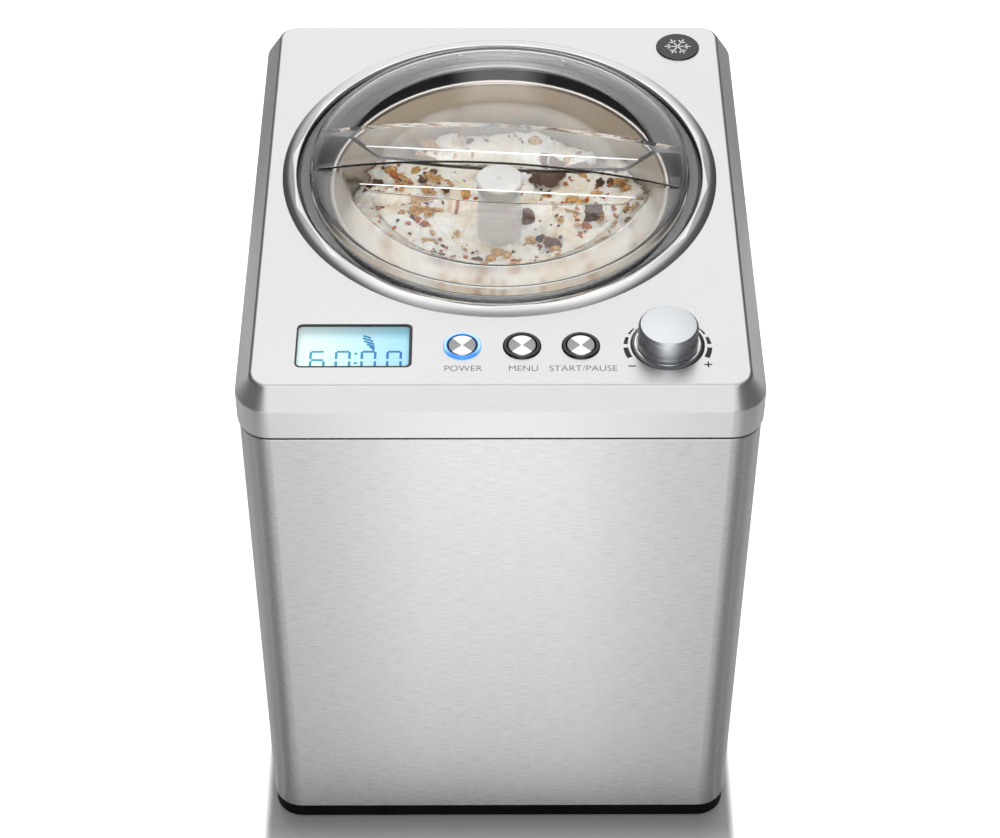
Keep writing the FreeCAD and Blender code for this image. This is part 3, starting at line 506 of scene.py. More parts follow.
# materials
def brushedSteel(name, colour, roughness=0.28, spread=1.0, contrast=0.11, grainWidth=0.5, grainLength=9.0,
                 depth=0.04, tangentAxis="X", quarterTurn=0.0):
    # rolled sheet brushed one way: fine streaks along X, and along Y on the two sides
    material, tree, shader = startMaterial(name, metallic=1.0, roughness=roughness, anisotropic=spread,
                                           quarterTurn=quarterTurn)
    # scratches spread a reflection across them: the tangent turns about X, or about Z and then by a quarter
    tangent = addNode(tree, "ShaderNodeTangent", {"direction_type": "RADIAL", "axis": tangentAxis})
    linkInput(shader, "Tangent", tangent)
    geometry = addNode(tree, "ShaderNodeNewGeometry")
    facing = addNode(tree, "ShaderNodeSeparateXYZ", links={"Vector": geometry.outputs["Normal"]})
    sideways = mathNode(tree, "ABSOLUTE", facing.outputs["X"])
    choose = mapNode(tree, sideways, 0.65, 0.75)
    across = 1 / (grainWidth * mm)
    along = 1 / (grainLength * mm)
    streaks = []
    for scale in ((along, across, across), (across, along, across)):
        streaks.append(noiseNode(tree, 1.0, 3.0, 0.7, point=objectPoint(tree, scale)))
    grain = addNode(tree, "ShaderNodeMix", {"data_type": "FLOAT"}, {0: choose, 2: streaks[0], 3: streaks[1]})
    cloud = noiseNode(tree, 9.0, 2.0)
    darker, lighter = shadeOf(hexColour(colour), 1 - 1.6 * contrast, 1 + contrast)
    tint = rampNode(tree, grain, [(0.3, darker), (0.5, colour), (0.7, lighter)])
    linkInput(shader, "Base Color", tint)
    fineGloss = mathNode(tree, "MULTIPLY_ADD", grain, contrast, roughness - 0.03 - contrast / 2)
    gloss = mathNode(tree, "MULTIPLY_ADD", cloud, 0.06, fineGloss)
    linkInput(shader, "Roughness", gloss)
    linkBump(tree, shader, grain, depth, 0.2)
    return material


def mouldedPlastic(name, colour, roughness=0.5, grainSize=0.6, depth=0.12, metallic=0.0, ior=1.5):
    # fine spark-eroded texture with slightly uneven gloss
    base = hexColour(colour)
    material, tree, shader = startMaterial(name, baseColour=base, roughness=roughness, metallic=metallic)
    if not metallic:
        shader.inputs["IOR"].default_value = ior
    scale = 1 / (grainSize * mm)
    grain = noiseNode(tree, scale, 2.0)
    cloud = noiseNode(tree, 40.0, 2.0)
    low = tuple(c * 0.88 for c in base[:3]) + (1,)
    high = tuple(min(1, c * 1.1 + 0.002) for c in base[:3]) + (1,)
    tint = rampNode(tree, cloud, [(0.3, low), (0.7, high)])
    linkInput(shader, "Base Color", tint)
    gloss = mapNode(tree, grain, 0.0, 1.0, roughness - 0.06, roughness + 0.06)
    linkInput(shader, "Roughness", gloss)
    linkBump(tree, shader, grain, depth, 0.1)
    return material


def turnedMetal(name, colour, roughness, centre, ringWidth=0.35, paintedReflectionQuarters=None, paintedShadeSlope=None):
    # lathe-turned face, fine rings about a centre: the quarter colour darkens two quarters as a painted
    # reflection, the slope colour darkens all beyond a radius as painted shade
    material, tree, shader = startMaterial(name, metallic=1.0, roughness=roughness)
    parts, reach = radialParts(tree, (-centre[0], -centre[1], 0))
    rings = mathNode(tree, "MULTIPLY", reach.outputs["Value"], 1 / (ringWidth * mm))
    spread = addNode(tree, "ShaderNodeCombineXYZ", links={"X": rings})
    grain = noiseNode(tree, 1.0, 2.0, point=spread)
    base = hexColour(colour)
    low = tuple(c * 0.9 for c in base[:3]) + (1,)
    tint = rampNode(tree, grain, [(0.35, low), (0.65, base)])
    colourSocket = tint
    if paintedReflectionQuarters:
        # |x| above |y| is the left or right quarter, painted darker as a painted reflection
        absX = mathNode(tree, "ABSOLUTE", parts.outputs["X"])
        absY = mathNode(tree, "ABSOLUTE", parts.outputs["Y"])
        gap = mathNode(tree, "SUBTRACT", absX, absY)
        inside = mapNode(tree, gap, -0.1 * mm, 0.4 * mm)
        colourSocket = mixColour(tree, inside, colourSocket, hexColour(paintedReflectionQuarters), "MULTIPLY")
    if paintedShadeSlope:
        # the slope beyond this radius is painted a darker grey: painted shade
        slopeR, slopeShadeColour = paintedShadeSlope
        beyond = mapNode(tree, reach.outputs["Value"], slopeR * mm, (slopeR + 0.15) * mm)
        colourSocket = mixColour(tree, beyond, colourSocket, hexColour(slopeShadeColour))
    linkInput(shader, "Base Color", colourSocket)
    gloss = mapNode(tree, grain, 0.0, 1.0, roughness - 0.05, roughness + 0.07)
    linkInput(shader, "Roughness", gloss)
    linkBump(tree, shader, grain, 0.08, 0.1)
    return material


# long level streaks, with reflections drawn out up and down as on brushed sheet
dressNode("steel_wrap", brushedSteel("brushed stainless sheet", "#cfcfcd", tangentAxis="Z", quarterTurn=0.25))
# finer, paler brushing: the plate looks almost white with a faint grain
dressNode("top_cover", brushedSteel("brushed stainless cover", "#dcdcdc", roughness=0.4, spread=0.6,
                                    contrast=0.03,
                                    depth=0.02))
# name, colour, settings and the nodes that wear it, after a note on what each gives the eye
finishes = (
    # matt black without a clear highlight, so that base and joint line read as dark edges
    ("moulded black ABS", "#030304", {"roughness": 0.6, "ior": 1.2},
     ("base_tray", "rear_panel", "top_frame", "terminal_cover", "cord_gland", "fan_shroud", "fan_rotor",
      "gearbox_housing", "gearbox_cover", "chamber_tray", "encoder")),
    # satin black: the well's wall gives soft grey reflections through the lid
    ("satin black ABS", "#1a1b1c", {"roughness": 0.25, "depth": 0.04}, ("well_ring",)),
    # nearly a black mirror: thin bright lines round display and buttons
    ("polished black ABS", "#08080a", {"roughness": 0.08, "depth": 0.02}, ("display_bezel", "button_rings")),
    # dull charcoal
    ("moulded rubber", "#17171a", {"roughness": 0.75}, ("rubber_feet", "compressor_grommets", "shaft_seal")),
    # smooth dark grey with a soft sheen
    ("printed grey disc", "#2a2c30", {"roughness": 0.25, "depth": 0.02}, ("badge_disc",)),
    # pale, blurred shine of plated pressings
    ("zinc plated steel", "#b4b8ba", {"roughness": 0.35, "metallic": 1.0},
     ("deck_plate", "support_posts", "compressor_base", "case_screws", "motor_can", "fan_motor")),
    # sharper, darker shine of shafts
    ("ground steel", "#a9abad", {"roughness": 0.22, "metallic": 1.0},
     ("drive_shaft", "idler_pin", "motor_rotor", "encoder_shaft")),
    # warm orange glints behind the rear slots
    ("drawn copper", "#c27b55", {"roughness": 0.28, "metallic": 1.0},
     ("evaporator_coil", "condenser_tube", "refrigerant_lines", "capillary", "filter_drier")),
    # dull gold
    ("sintered bronze", "#a97f45", {"roughness": 0.45, "metallic": 1.0}, ("bearing_bush", "motor_pinion")),
    # pale grey with a blurred shine
    ("rolled aluminium", "#c9cbcd", {"roughness": 0.35, "metallic": 1.0}, ("condenser_fins", "chamber_cup")),
    # cream grain without shine, drawn coarser than real foam cells
    ("rigid polyurethane foam", "#e4d6a8", {"roughness": 0.9, "grainSize": 1.2, "depth": 0.5},
     ("foam_insulation",)),
    # waxy white
    ("moulded acetal", "#e9e7df", {"roughness": 0.35}, ("output_gear", "idler_gear")),
    # glossy green
    ("solder resist", "#0f5a33", {"roughness": 0.25, "grainSize": 2.0, "depth": 0.05},
     ("control_board", "power_board")),
    # deep black with clear highlights
    ("black stoved paint", "#0d0d0e", {"roughness": 0.2, "depth": 0.05}, ("compressor_shell",)),
    # small dark parts with a soft shine
    ("moulded component", "#1b1b1e", {"roughness": 0.4}, ("power_parts", "tact_switches", "display_module")),
    # dark red-brown with a metallic glint
    ("enamelled copper winding", "#8e4a22", {"roughness": 0.3, "metallic": 1.0}, ("motor_stator",)),
)
for name, colour, settings, wearers in finishes:
    material = mouldedPlastic(name, colour, **settings)
    for node in wearers:
        dressNode(node, material)
print("materials ready")

# collar: bright polished metal with dark and light bands where it turns
polishedCollar = turnedMetal("polished stainless collar", "#d6d6d6", 0.16, (0, axisY))
dressPiece(softenNode("bowl_collar", 0.35), "housing", polishedCollar, ["bowl_collar"])

# two polished steps on the ledge wall between bowl and lid
wellTrim = {"wallR": 104.0, "depth": 1.2, "levels": ((352.2, 353.0), (355.4, 356.6)), "edge": 0.2}


def makeTrims(values):
    rings = []
    for low, high in values["levels"]:
        inner, edge = values["wallR"] - values["depth"], values["edge"]
        outline = [(values["wallR"] - 0.02, low), (values["wallR"] - 0.02, high), (inner + edge, high),
                   (inner, high - edge), (inner, low + edge), (inner + edge, low)]
        rings.append(turnOutline("trim", outline, 192, (0, axisY)))
    piece = joinPieces(rings, "ledge_trims")
    smoothPiece(piece, 30)
    polishedStep = turnedMetal("polished ledge steps", "#e4e4e4", 0.12, (0, axisY))
    dressPiece(piece, "housing", polishedStep)


makeTrims(wellTrim)

# mixing bowl
bowlShape = {"innerR": 91.0, "wall": 1.1, "bead": 2.2, "corner": 8.0, "tubeR": 8.0, "tubeBore": 6.2,
             "tubeHeight": 71.5}


def makeBowl(values):
    low = bowlLow.z / mm
    beadZ = bowlHigh.z / mm - values["bead"]
    outerR = values["innerR"] + values["wall"]
    corner = values["corner"]
    outline = [(values["tubeBore"], low)]
    outline += arcPoints(outerR - corner, low + corner, corner, -90, 0, 8)
    outline += arcPoints(values["innerR"] + values["bead"], beadZ, values["bead"], -110, 180, 14)
    inner = corner - values["wall"]
    outline += arcPoints(values["innerR"] - inner, low + values["wall"] + inner, inner, 0, -90, 8)
    outline += arcPoints(values["tubeR"] + 1.5, low + values["wall"] + 1.5, 1.5, -90, -180, 3)
    outline += [(values["tubeR"], low + values["tubeHeight"] - 0.4),
                (values["tubeR"] - 0.4, low + values["tubeHeight"]),
                (values["tubeBore"], low + values["tubeHeight"])]
    bowl = turnOutline("bowl", outline, 160, (0, axisY))
    smoothPiece(bowl, 40)
    # warm grey metal with a blurred sheen that runs round the wall
    drawn = turnedMetal("drawn anodised aluminium", "#cfc6bb", 0.3, (0, axisY), ringWidth=0.8)
    return dressPiece(bowl, "bowl", drawn, ["mixing_bowl"])


makeBowl(bowlShape)

# paddle
def makePaddle():
    # milky white that lets a little light through
    material, tree, shader = startMaterial("translucent white polypropylene", baseColour=hexColour("#eceae6"),
                                           roughness=0.38, ior=1.49, subsurface=0.6,
                                           subsurfaceScale=0.004)
    cloud = noiseNode(tree, 120.0, 3.0)
    tint = rampNode(tree, cloud, [(0.3, "#e3e1dd"), (0.7, "#f0efec")])
    linkInput(shader, "Base Color", tint)
    linkBump(tree, shader, cloud, 0.05, 0.2)
    return dressPiece(softenNode("paddle", 0.6), "paddle", material, ["paddle"])


makePaddle()
print("bowl and paddle ready")

# ice cream
iceCream = {
    "radius": 90.2, "low": 296.0, "level": 315.0, "seed": 7, "grid": 250, "hubHole": 10.5,
    # waves: height, length and place in the noise; rings: height, radius and width, in mm
    "swell": (4.5, 34, 3.1), "lumps": ((5.5, 17.0, 2.3), (2.6, 7.5, 6.1), (1.1, 3.6, 9.4)),
    "grain": (0.7, 2.4, 5.3),
    "dip": (-5.0, 0, 20), "heap": (3.5, 52, 26), "edge": (-4.0, 78, 12),
}


def lumpHeight(x, y, size, phase):
    # rounded lumps of about this size in mm, with creases between them
    warp = noise.noise_vector(Vector((x / size, y / size, phase))) * 0.35
    near = noise.voronoi(Vector((x / size, y / size, phase)) + warp)[0][0]
    return 1 - min(1.0, near / 0.8) ** 2


def creamHeight(x, y, values):
    # heaped, lumpy surface in mm, lowest round the hub
    reach = math.hypot(x, y)
    swell, grain = (height * noise.noise(Vector((x / length, y / length, phase)))
                    for height, length, phase in (values["swell"], values["grain"]))
    lumps = sum(height * lumpHeight(x, y, size, phase) for height, size, phase in values["lumps"])
    dip, heap = (height * math.exp(-(((reach - radius) / width) ** 2))
                 for height, radius, width in (values["dip"], values["heap"]))
    height, radius, width = values["edge"]
    edge = height * max(0.0, (reach - radius) / width) ** 2
    return values["level"] + swell + lumps + grain + dip + heap + edge


def makeIceCream(values):
    noise.seed_set(values["seed"])  # the warp of the lumps would otherwise follow the clock
    deselectAll()
    grid = values["grid"]
    bpy.ops.mesh.primitive_grid_add(x_subdivisions=grid, y_subdivisions=grid, size=2 * values["radius"] * mm)
    cream = newPiece("ice_cream")
    centre = Vector((0, axisY, 0))
    for vertex in cream.data.vertices:
        x, y = vertex.co.x / mm, vertex.co.y / mm
        square = max(abs(x), abs(y))
        reach = math.hypot(x, y)
        if reach > 1e-6:
            x, y = x * square / reach, y * square / reach  # square grid pulled onto a disc
        vertex.co = Vector((x * mm, y * mm, creamHeight(x, y, values) * mm)) + centre
    makeActive(cream)
    bpy.ops.object.mode_set(mode="EDIT")
    bpy.ops.mesh.select_all(action="SELECT")
    bpy.ops.mesh.extrude_region_move(TRANSFORM_OT_translate={"value": (0, 0, -0.02)})
    bpy.ops.object.mode_set(mode="OBJECT")
    for vertex in cream.data.vertices:
        if vertex.select:
            vertex.co.z = values["low"] * mm
    bpy.ops.object.mode_set(mode="EDIT")
    bpy.ops.mesh.dissolve_limited(angle_limit=math.radians(0.01))
    bpy.ops.object.mode_set(mode="OBJECT")
    mendMesh(cream, 1e-7)
    hole = addCylinder("hub hole", (0, axisY, values["low"] * mm), values["hubHole"] * mm, 0.2, 48)
    cutWith(cream, hole)
    smoothPiece(cream, 60)
    # cream to white patches, partly the cream's own uneven tone and partly painted shadow and painted
    # highlight, with a few brown specks
    material, tree, shader = startMaterial("churned vanilla ice cream", roughness=0.42, subsurface=0.5,
                                           subsurfaceScale=0.006, ior=1.35)
    shader.inputs["Subsurface Radius"].default_value = (1.0, 0.7, 0.45)
    patch = noiseNode(tree, 60.0, 6.0, 0.65)
    tint = rampNode(tree, patch, [(0.3, "#e8d3b4"), (0.42, "#f8ecd9"), (0.55, "#fdf8ee")])
    speck = addNode(tree, "ShaderNodeTexVoronoi", {"Scale": 420.0}, {"Vector": objectPoint(tree)})
    crumb = mapNode(tree, speck.outputs["Distance"], 0.16, 0.1)
    sparse = mapNode(tree, patch, 0.5, 0.56)
    few = mathNode(tree, "MULTIPLY", crumb, sparse)
    mixed = mixColour(tree, few, tint, hexColour("#9a6a3c"))
    linkInput(shader, "Base Color", mixed)
    linkBump(tree, shader, patch, 0.5, 1.0)
    dressPiece(cream, "paddle", material)
    return cream


nutKinds = [
    # name, colour, count, smallest and largest size in mm, flatness
    ("walnut_pieces", "#5d3a22", 30, 2.0, 6.0, 0.6),
    ("almond_flakes", "#d0a062", 120, 2.0, 6.5, 0.35),
    ("caramel_crumbs", "#b5602a", 190, 0.9, 3.0, 0.7),
    ("dark_crumbs", "#3a2419", 110, 0.7, 2.4, 0.8),
]
# large pieces, given one by one: kind, x and y from the axis in mm, size in mm
largeNuts = [
    ("walnut_pieces", 30, 36, 14.0), ("walnut_pieces", 24, 37, 9.0), ("walnut_pieces", 54, 1, 8.0),
    ("walnut_pieces", 16, 2, 7.0), ("walnut_pieces", 30, -20, 10.0), ("walnut_pieces", -74, 38, 8.0),
    ("almond_flakes", 43, 14, 10.5), ("almond_flakes", 35, 42, 9.0), ("almond_flakes", -40, 73, 12.0),
    ("almond_flakes", -45, 8, 8.0), ("almond_flakes", 69, 36, 9.0), ("caramel_crumbs", -46, 1, 5.0),
    ("caramel_crumbs", -42, -6, 4.5), ("caramel_crumbs", -60, 39, 5.5), ("caramel_crumbs", 49, -4, 5.0),
    ("dark_crumbs", 23, -11, 5.0), ("dark_crumbs", 58, 34, 4.5), ("dark_crumbs", -47, 12, 4.0),
]
nutClusters = [(-48, 2, 16), (-58, 38, 15), (-38, 25, 14), (32, 38, 13), (50, 2, 12), (62, 40, 14),
               (-20, -42, 16), (20, -38, 15)]


def addBit(surface, x, y, size, flatness):
    # one rough piece of nut, half sunk in the surface
    start = Vector((x * mm, axisY + y * mm, topZ))
    spot = surface.ray_cast(start, Vector((0, 0, -1)))[0]
    deselectAll()
    bpy.ops.mesh.primitive_ico_sphere_add(subdivisions=3 if size > 7 * mm else 2, radius=size / 2)
    bit = bpy.context.object
    phase = random.uniform(0, 100)
    for vertex in bit.data.vertices:
        rough = noise.noise(vertex.co * (2.4 / size) + Vector((phase, 0, 0)))
        rough += 0.4 * noise.noise(vertex.co * (6.5 / size) + Vector((0, phase, 0)))
        vertex.co *= 1 + 0.6 * rough
        vertex.co.z *= flatness
        vertex.co.x *= 1.25
    spin = Matrix.Rotation(random.uniform(0, 6.28), 4, "Z")
    spin = spin @ Matrix.Rotation(random.uniform(-0.7, 0.7), 4, "X")
    bit.data.transform(Matrix.Translation(spot + Vector((0, 0, size * 0.1))) @ spin)
    return bit


def scatterNuts(cream, kinds, values):
    random.seed(values["seed"])
    surface = BVHTree.FromPolygons([v.co for v in cream.data.vertices],
                                   [p.vertices for p in cream.data.polygons])
    for name, colour, count, smallest, largest, flatness in kinds:
        bits = [addBit(surface, x, y, size * mm, flatness) for kind, x, y, size in largeNuts if kind == name]
        for number in range(count):
            if number % 5 < 3:
                clusterX, clusterY, spread = random.choice(nutClusters)
                x, y = random.gauss(clusterX, spread), random.gauss(clusterY, spread)
            else:
                reach = math.sqrt(random.uniform(0.05, 0.9)) * values["radius"]
                turn = random.uniform(0, 2 * math.pi)
                x, y = reach * math.cos(turn), reach * math.sin(turn)
            size = random.uniform(smallest, largest)
            if not 20 < math.hypot(x, y) < values["radius"] - 3 - size / 2:
                continue
            bits.append(addBit(surface, x, y, size * mm, flatness))
        piece = joinPieces(bits, name)
        bpy.ops.object.transform_apply(location=True, rotation=True, scale=True)
        smoothPiece(piece, 50)
        # uneven light and dark patches, as on a broken face
        material, tree, shader = startMaterial("chopped nut " + name, roughness=0.5, ior=1.45)
        patch = noiseNode(tree, 500.0, 4.0)
        base = hexColour(colour)
        low, high = shadeOf(base, 0.5, 1.5)
        tint = rampNode(tree, patch, [(0.35, low), (0.5, base), (0.65, high)])
        linkInput(shader, "Base Color", tint)
        linkBump(tree, shader, patch, 0.6, 0.4)
        dressPiece(piece, "paddle", material)


cream = makeIceCream(iceCream)
scatterNuts(cream, nutKinds, iceCream)
print("ice cream ready")

# lid
lidShape = {"rim": 104.5, "rise": 7.5, "wall": 2.2, "flangeR": 110.5, "flange": 2.0, "dish": 11.0,
            "dishRise": 4.0, "pocketR": 86.5, "pocketFoot": 71.0, "handle": 34.0, "crown": 19.5,
            "turn": -4.6, "edge": 0.7,
            # frosted underside of the rim: fades at its inner and outer radius and its height, and roughness
            "frostInner": (87.2, 88.0), "frostOuter": (103.6, 102.8), "frostTop": (6.6, 6.2),
            "frost": 0.22, "polish": 0.01}


def lidBlock(values, wall):
    # solid under the lid's upper surface, centred on the origin; a wall of 0 gives the outside with skirt and
    # flange, and anything else what is hollowed out of it
    top = topZ / mm
    low = top - (24 if wall == 0 else 26)
    depth = top - values["dish"] - wall
    flat = top + values["rise"] - wall
    foot = values["pocketFoot"]
    rim = values["rim"] - wall
    if wall == 0:
        skirtEnd = top - 1.2
        flangeTop = skirtEnd + values["flange"]
        lip = values["pocketR"] + 2
        flangeR = values["flangeR"]
        outline = [(0, low), (lip, low), (lip, skirtEnd), (flangeR - 0.5, skirtEnd),
                   (flangeR, skirtEnd + 0.5), (flangeR, flangeTop - 0.5), (flangeR - 0.5, flangeTop),
                   (rim + 0.6, flangeTop), (rim, flangeTop + 0.6)]
    else:
        outline = [(0, low), (rim, low)]
    outline += [(rim, flat - 1.2), (rim - 0.35, flat - 0.35), (rim - 1.2, flat)]
    outline += [(values["pocketR"] + 1.2, flat), (values["pocketR"] + 0.3, flat - 0.3),
                (values["pocketR"] - 0.6, flat - 1.2)]
    outline += [(foot + 2.0, depth + values["dishRise"] + 1.7), (foot, depth + values["dishRise"] + 0.3),
                (foot - 3, depth + values["dishRise"] * 0.93)]
    outline += [(foot * 0.5, depth + values["dishRise"] * 0.45), (0, depth)]
    drum = turnOutline("lid drum", outline, 192)
    half = values["handle"] / 2 - wall
    crown = values["crown"] - values["rise"]
    arcR = (values["rim"] ** 2 + crown ** 2) / (2 * crown)
    arch = addCylinder("arch", (0, 0, (top + values["crown"] - arcR - wall) * mm), arcR * mm, 2 * half * mm,
                       720, (math.pi / 2, 0, 0))
    # outside, the handle starts inside the flange, so that nothing hangs below it
    coreLow = top - 0.9 if wall == 0 else low + 1
    core = addCylinder("core", (0, 0, (coreLow + 40) * mm), (rim - 0.7) * mm, 80 * mm, 192)
    cutWith(arch, core, "INTERSECT")
    cutWith(drum, arch, "UNION")
    return drum


def makeLid(values):
    outer = lidBlock(values, 0)
    cutWith(outer, lidBlock(values, values["wall"]))
    lid = outer
    lid.name = "clear_lid"
    mendMesh(lid, 2e-6)
    applyModifier(lid, "BEVEL", width=values["edge"] * mm, segments=3, limit_method="ANGLE",
                  angle_limit=math.radians(50), use_clamp_overlap=True)
    turn = Matrix.Rotation(math.radians(values["turn"]), 4, "Z")
    lid.data.transform(Matrix.Translation((0, axisY, 0)) @ turn)
    smoothPiece(lid, 38)
    # clear, with edges that catch bright and dark lines
    material, tree, shader = startMaterial("clear polycarbonate", baseColour=hexColour("#fbfcfd"), ior=1.49,
                                           transmission=1.0)
    parts, reach = radialParts(tree, (0, -axisY, 0))
    # the raised rim between pocket and skirt is moulded with a fine frost
    inward, outward = (mapNode(tree, reach.outputs["Value"], start * mm, end * mm)
                       for start, end in (values["frostInner"], values["frostOuter"]))
    frost = mathNode(tree, "MULTIPLY", inward, outward)
    start, end = values["frostTop"]
    below = mapNode(tree, parts.outputs["Z"], topZ + start * mm, topZ + end * mm)
    underside = mathNode(tree, "MULTIPLY", frost, below)
    rough = mathNode(tree, "MULTIPLY_ADD", underside, values["frost"], values["polish"])
    linkInput(shader, "Roughness", rough)
    clear = addNode(tree, "ShaderNodeBsdfTransparent", {"Color": (0.96, 0.96, 0.96, 1)})
    path = addNode(tree, "ShaderNodeLightPath")
    mix = addNode(tree, "ShaderNodeMixShader", links={0: path.outputs["Is Shadow Ray"], 1: shader, 2: clear})
    output = tree.nodes["Material Output"]
    tree.links.new(mix.outputs[0], output.inputs["Surface"])
    dressPiece(lid, "lid", material, ["lid"])
    return material


clearPlastic = makeLid(lidShape)

# two raised rings moulded on the lid's rear rim
ringMarks = {"spread": 18.0, "placeR": 95.5, "outerR": 3.0, "width": 0.8, "height": 0.4, "sunk": 0.1}


def makeMarks(values, material):
    base = topZ / mm + lidShape["rise"] - values["sunk"]
    top = base + values["sunk"] + values["height"]
    inner, outer = values["outerR"] - values["width"], values["outerR"]
    rings = []
    for side in (-1, 1):
        spot = math.radians(90 + side * values["spread"] + lidShape["turn"])
        centre = (values["placeR"] * math.cos(spot) * mm, axisY + values["placeR"] * math.sin(spot) * mm)
        rings.append(turnOutline("mark", [(inner, base), (outer, base), (outer - 0.1, top),
                                          (inner + 0.1, top)], 48, centre))
    piece = joinPieces(rings, "lid_marks")
    smoothPiece(piece, 30)
    dressPiece(piece, "lid", material)


makeMarks(ringMarks, clearPlastic)
print("lid ready")

# knob and buttons: fine turned rings that blur reflections round the axis; each button has two grey quarters
# of painted reflection
knobCentre = (knobLow + knobHigh) / 2
knobMetal = turnedMetal("satin turned aluminium", "#dadde0", 0.36, knobCentre.xy)
dressPiece(softenNode("control_knob", 0.15), "knob", knobMetal, ["control_knob"])
# the ring's outer slope is painted darker grey as painted shade
dressPiece(softenNode("knob_ring", 0.1), "housing",
           turnedMetal("polished aluminium ring", "#f4f5f6", 0.25, knobCentre.xy, paintedShadeSlope=(16.9, "#77797c")),
           ["knob_ring"])
for name, body in (("power_button", "power_key"), ("menu_button", "menu_key"), ("start_button", "start_key")):
    low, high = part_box(name)
    middle = (low + high) / 2
    capMetal = turnedMetal("spun aluminium " + name, "#f4f5f5", 0.28, middle.xy, 0.4, paintedReflectionQuarters="#9a9b9c")
    dressPiece(softenNode(name, 0.25), body, capMetal, [name])


# lit ring round the power key: where its glow fades outwards and, below its centre, forwards
litRing = {"fade": (7.9, 9.9), "front": (-2.0, -7.0)}


def makeLitRing(values):
    # a pale ring with a bright core and a deep blue front edge
    material, tree, shader = startMaterial("lit blue polycarbonate", baseColour=hexColour("#2d7fd6"),
                                           roughness=0.15, ior=1.49, emission=hexColour("#5fb4f2"),
                                           emissionStrength=0.9)
    low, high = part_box("power_ring")
    parts, reach = radialParts(tree, (-(low.x + high.x) / 2, -(low.y + high.y) / 2, 0))
    (inner, outer), (rear, ahead) = values["fade"], values["front"]
    near = mapNode(tree, reach.outputs["Value"], inner * mm, outer * mm)
    pale = rampNode(tree, near, [(0.0, "#14285a"), (0.18, "#8cc4f2"), (0.5, "#dff1fd"), (0.95, "#6fb2ee")])
    deep = rampNode(tree, near, [(0.0, "#0c1c48"), (0.25, "#2b6cc8"), (0.95, "#3f8be0")])
    # the lamp behind the ring sits at its front edge, where the blue is deepest
    front = mapNode(tree, parts.outputs["Y"], rear * mm, ahead * mm)
    glow = mixColour(tree, front, pale, deep)
    linkInput(shader, "Emission Color", glow)
    return material


dressNode("power_ring", makeLitRing(litRing))

# display
displayShape = {"digitWidth": 8.2, "digitHeight": 13.8, "stroke": 1.35, "firstX": -98.6, "pitch": 13.2,
                "topY": -121.2, "cone": (-68.0, -115.2), "thickness": 0.12, "raised": 0.06,
                "dots": (-2.2, -9.2), "slant": 0.45,
                # bands of the cone sign: half width, place from its middle, thickness
                "bands": ((1.9, -1.2, -4.4, 1.2), (2.8, -0.7, -2.3, 1.3), (2.7, 0.0, -0.1, 1.3),
                          (2.1, 0.8, 2.0, 1.4), (1.4, 1.5, 3.7, 1.5), (0.7, 2.1, 5.0, 1.3))}


def lcdGradient(name, left, right, strength):
    # backlit display: paler at the left, bluer at the right
    material, tree, shader = startMaterial(name, roughness=0.18, ior=1.5, emissionStrength=strength)
    parts = addNode(tree, "ShaderNodeSeparateXYZ", links={"Vector": objectPoint(tree)})
    across = mapNode(tree, parts.outputs["X"], windowLow.x, windowHigh.x)
    cloud = noiseNode(tree, 30.0, 1.0)
    uneven = mathNode(tree, "MULTIPLY_ADD", cloud, 0.3, -0.15)
    place = mathNode(tree, "ADD", across, uneven)
    tint = rampNode(tree, place, [(0.0, left), (0.9, right)])
    linkInput(shader, "Base Color", tint)
    linkInput(shader, "Emission Color", tint)
    return material


def makeDisplay(values):
    dressNode("display_window", lcdGradient("backlit liquid crystal panel", "#e2f5f3", "#9bd3e6", 0.5))
    face = windowHigh.z + values["raised"] * mm
    width, height, stroke = values["digitWidth"], values["digitHeight"], values["stroke"]
    half = stroke / 2
    middle = height / 2
    # segment centres and whether each lies flat, counted from the digit's top left
    segments = {
        "top": (width / 2, -half, True), "centre": (width / 2, -middle, True),
        "bottom": (width / 2, -height + half, True),
        "upperLeft": (half, -middle / 2, False), "upperRight": (width - half, -middle / 2, False),
        "lowerLeft": (half, -middle * 1.5, False), "lowerRight": (width - half, -middle * 1.5, False),
    }
    six = ("top", "centre", "bottom", "upperLeft", "lowerLeft", "lowerRight")
    zero = ("top", "bottom", "upperLeft", "upperRight", "lowerLeft", "lowerRight")
    bars = []
    for place, lit in enumerate((six, zero, zero, zero)):
        left = values["firstX"] + place * values["pitch"]
        for segment in lit:
            x, y, lying = segments[segment]
            length = (width if lying else middle) - stroke - 0.5
            size = (length / 2, half) if lying else (half, length / 2)
            bars.append(flatBar("bar", (left + x, values["topY"] + y), size, face, values["thickness"]))
    colonX = values["firstX"] + 2 * values["pitch"] - (values["pitch"] - width) / 2
    for y in values["dots"]:
        bars.append(flatBar("dot", (colonX, values["topY"] + y), (0.8, 0.6), face, values["thickness"]))
    # soft-serve cone sign: slanting bands that narrow to a point
    coneX, coneY = values["cone"]
    for wide, along, down, thick in values["bands"]:
        x, y = coneX + along, coneY - down
        bar = flatBar("band", (x, y), (wide, thick / 2), face, values["thickness"])
        for vertex in bar.data.vertices:
            vertex.co.y -= (vertex.co.x / mm - x) * values["slant"] * mm
        bars.append(bar)
    digits = joinPieces(bars, "display_digits")
    applyModifier(digits, "BEVEL", width=0.3 * mm, segments=2, limit_method="ANGLE")
    segmentBlue = lcdGradient("dark display segments", "#3aa6ae", "#1c6fb4", 0.35)
    dressPiece(digits, "housing", segmentBlue)


makeDisplay(displayShape)

# printing on the cover
printing = {"height": 4.0, "row": -139.1, "thickness": 0.03, "thin": -0.012,
            "labels": (("POWER", -28.7, -9.6), ("MENU", 4.2, 18.9), ("START/PAUSE", 24.8, 59.5))}


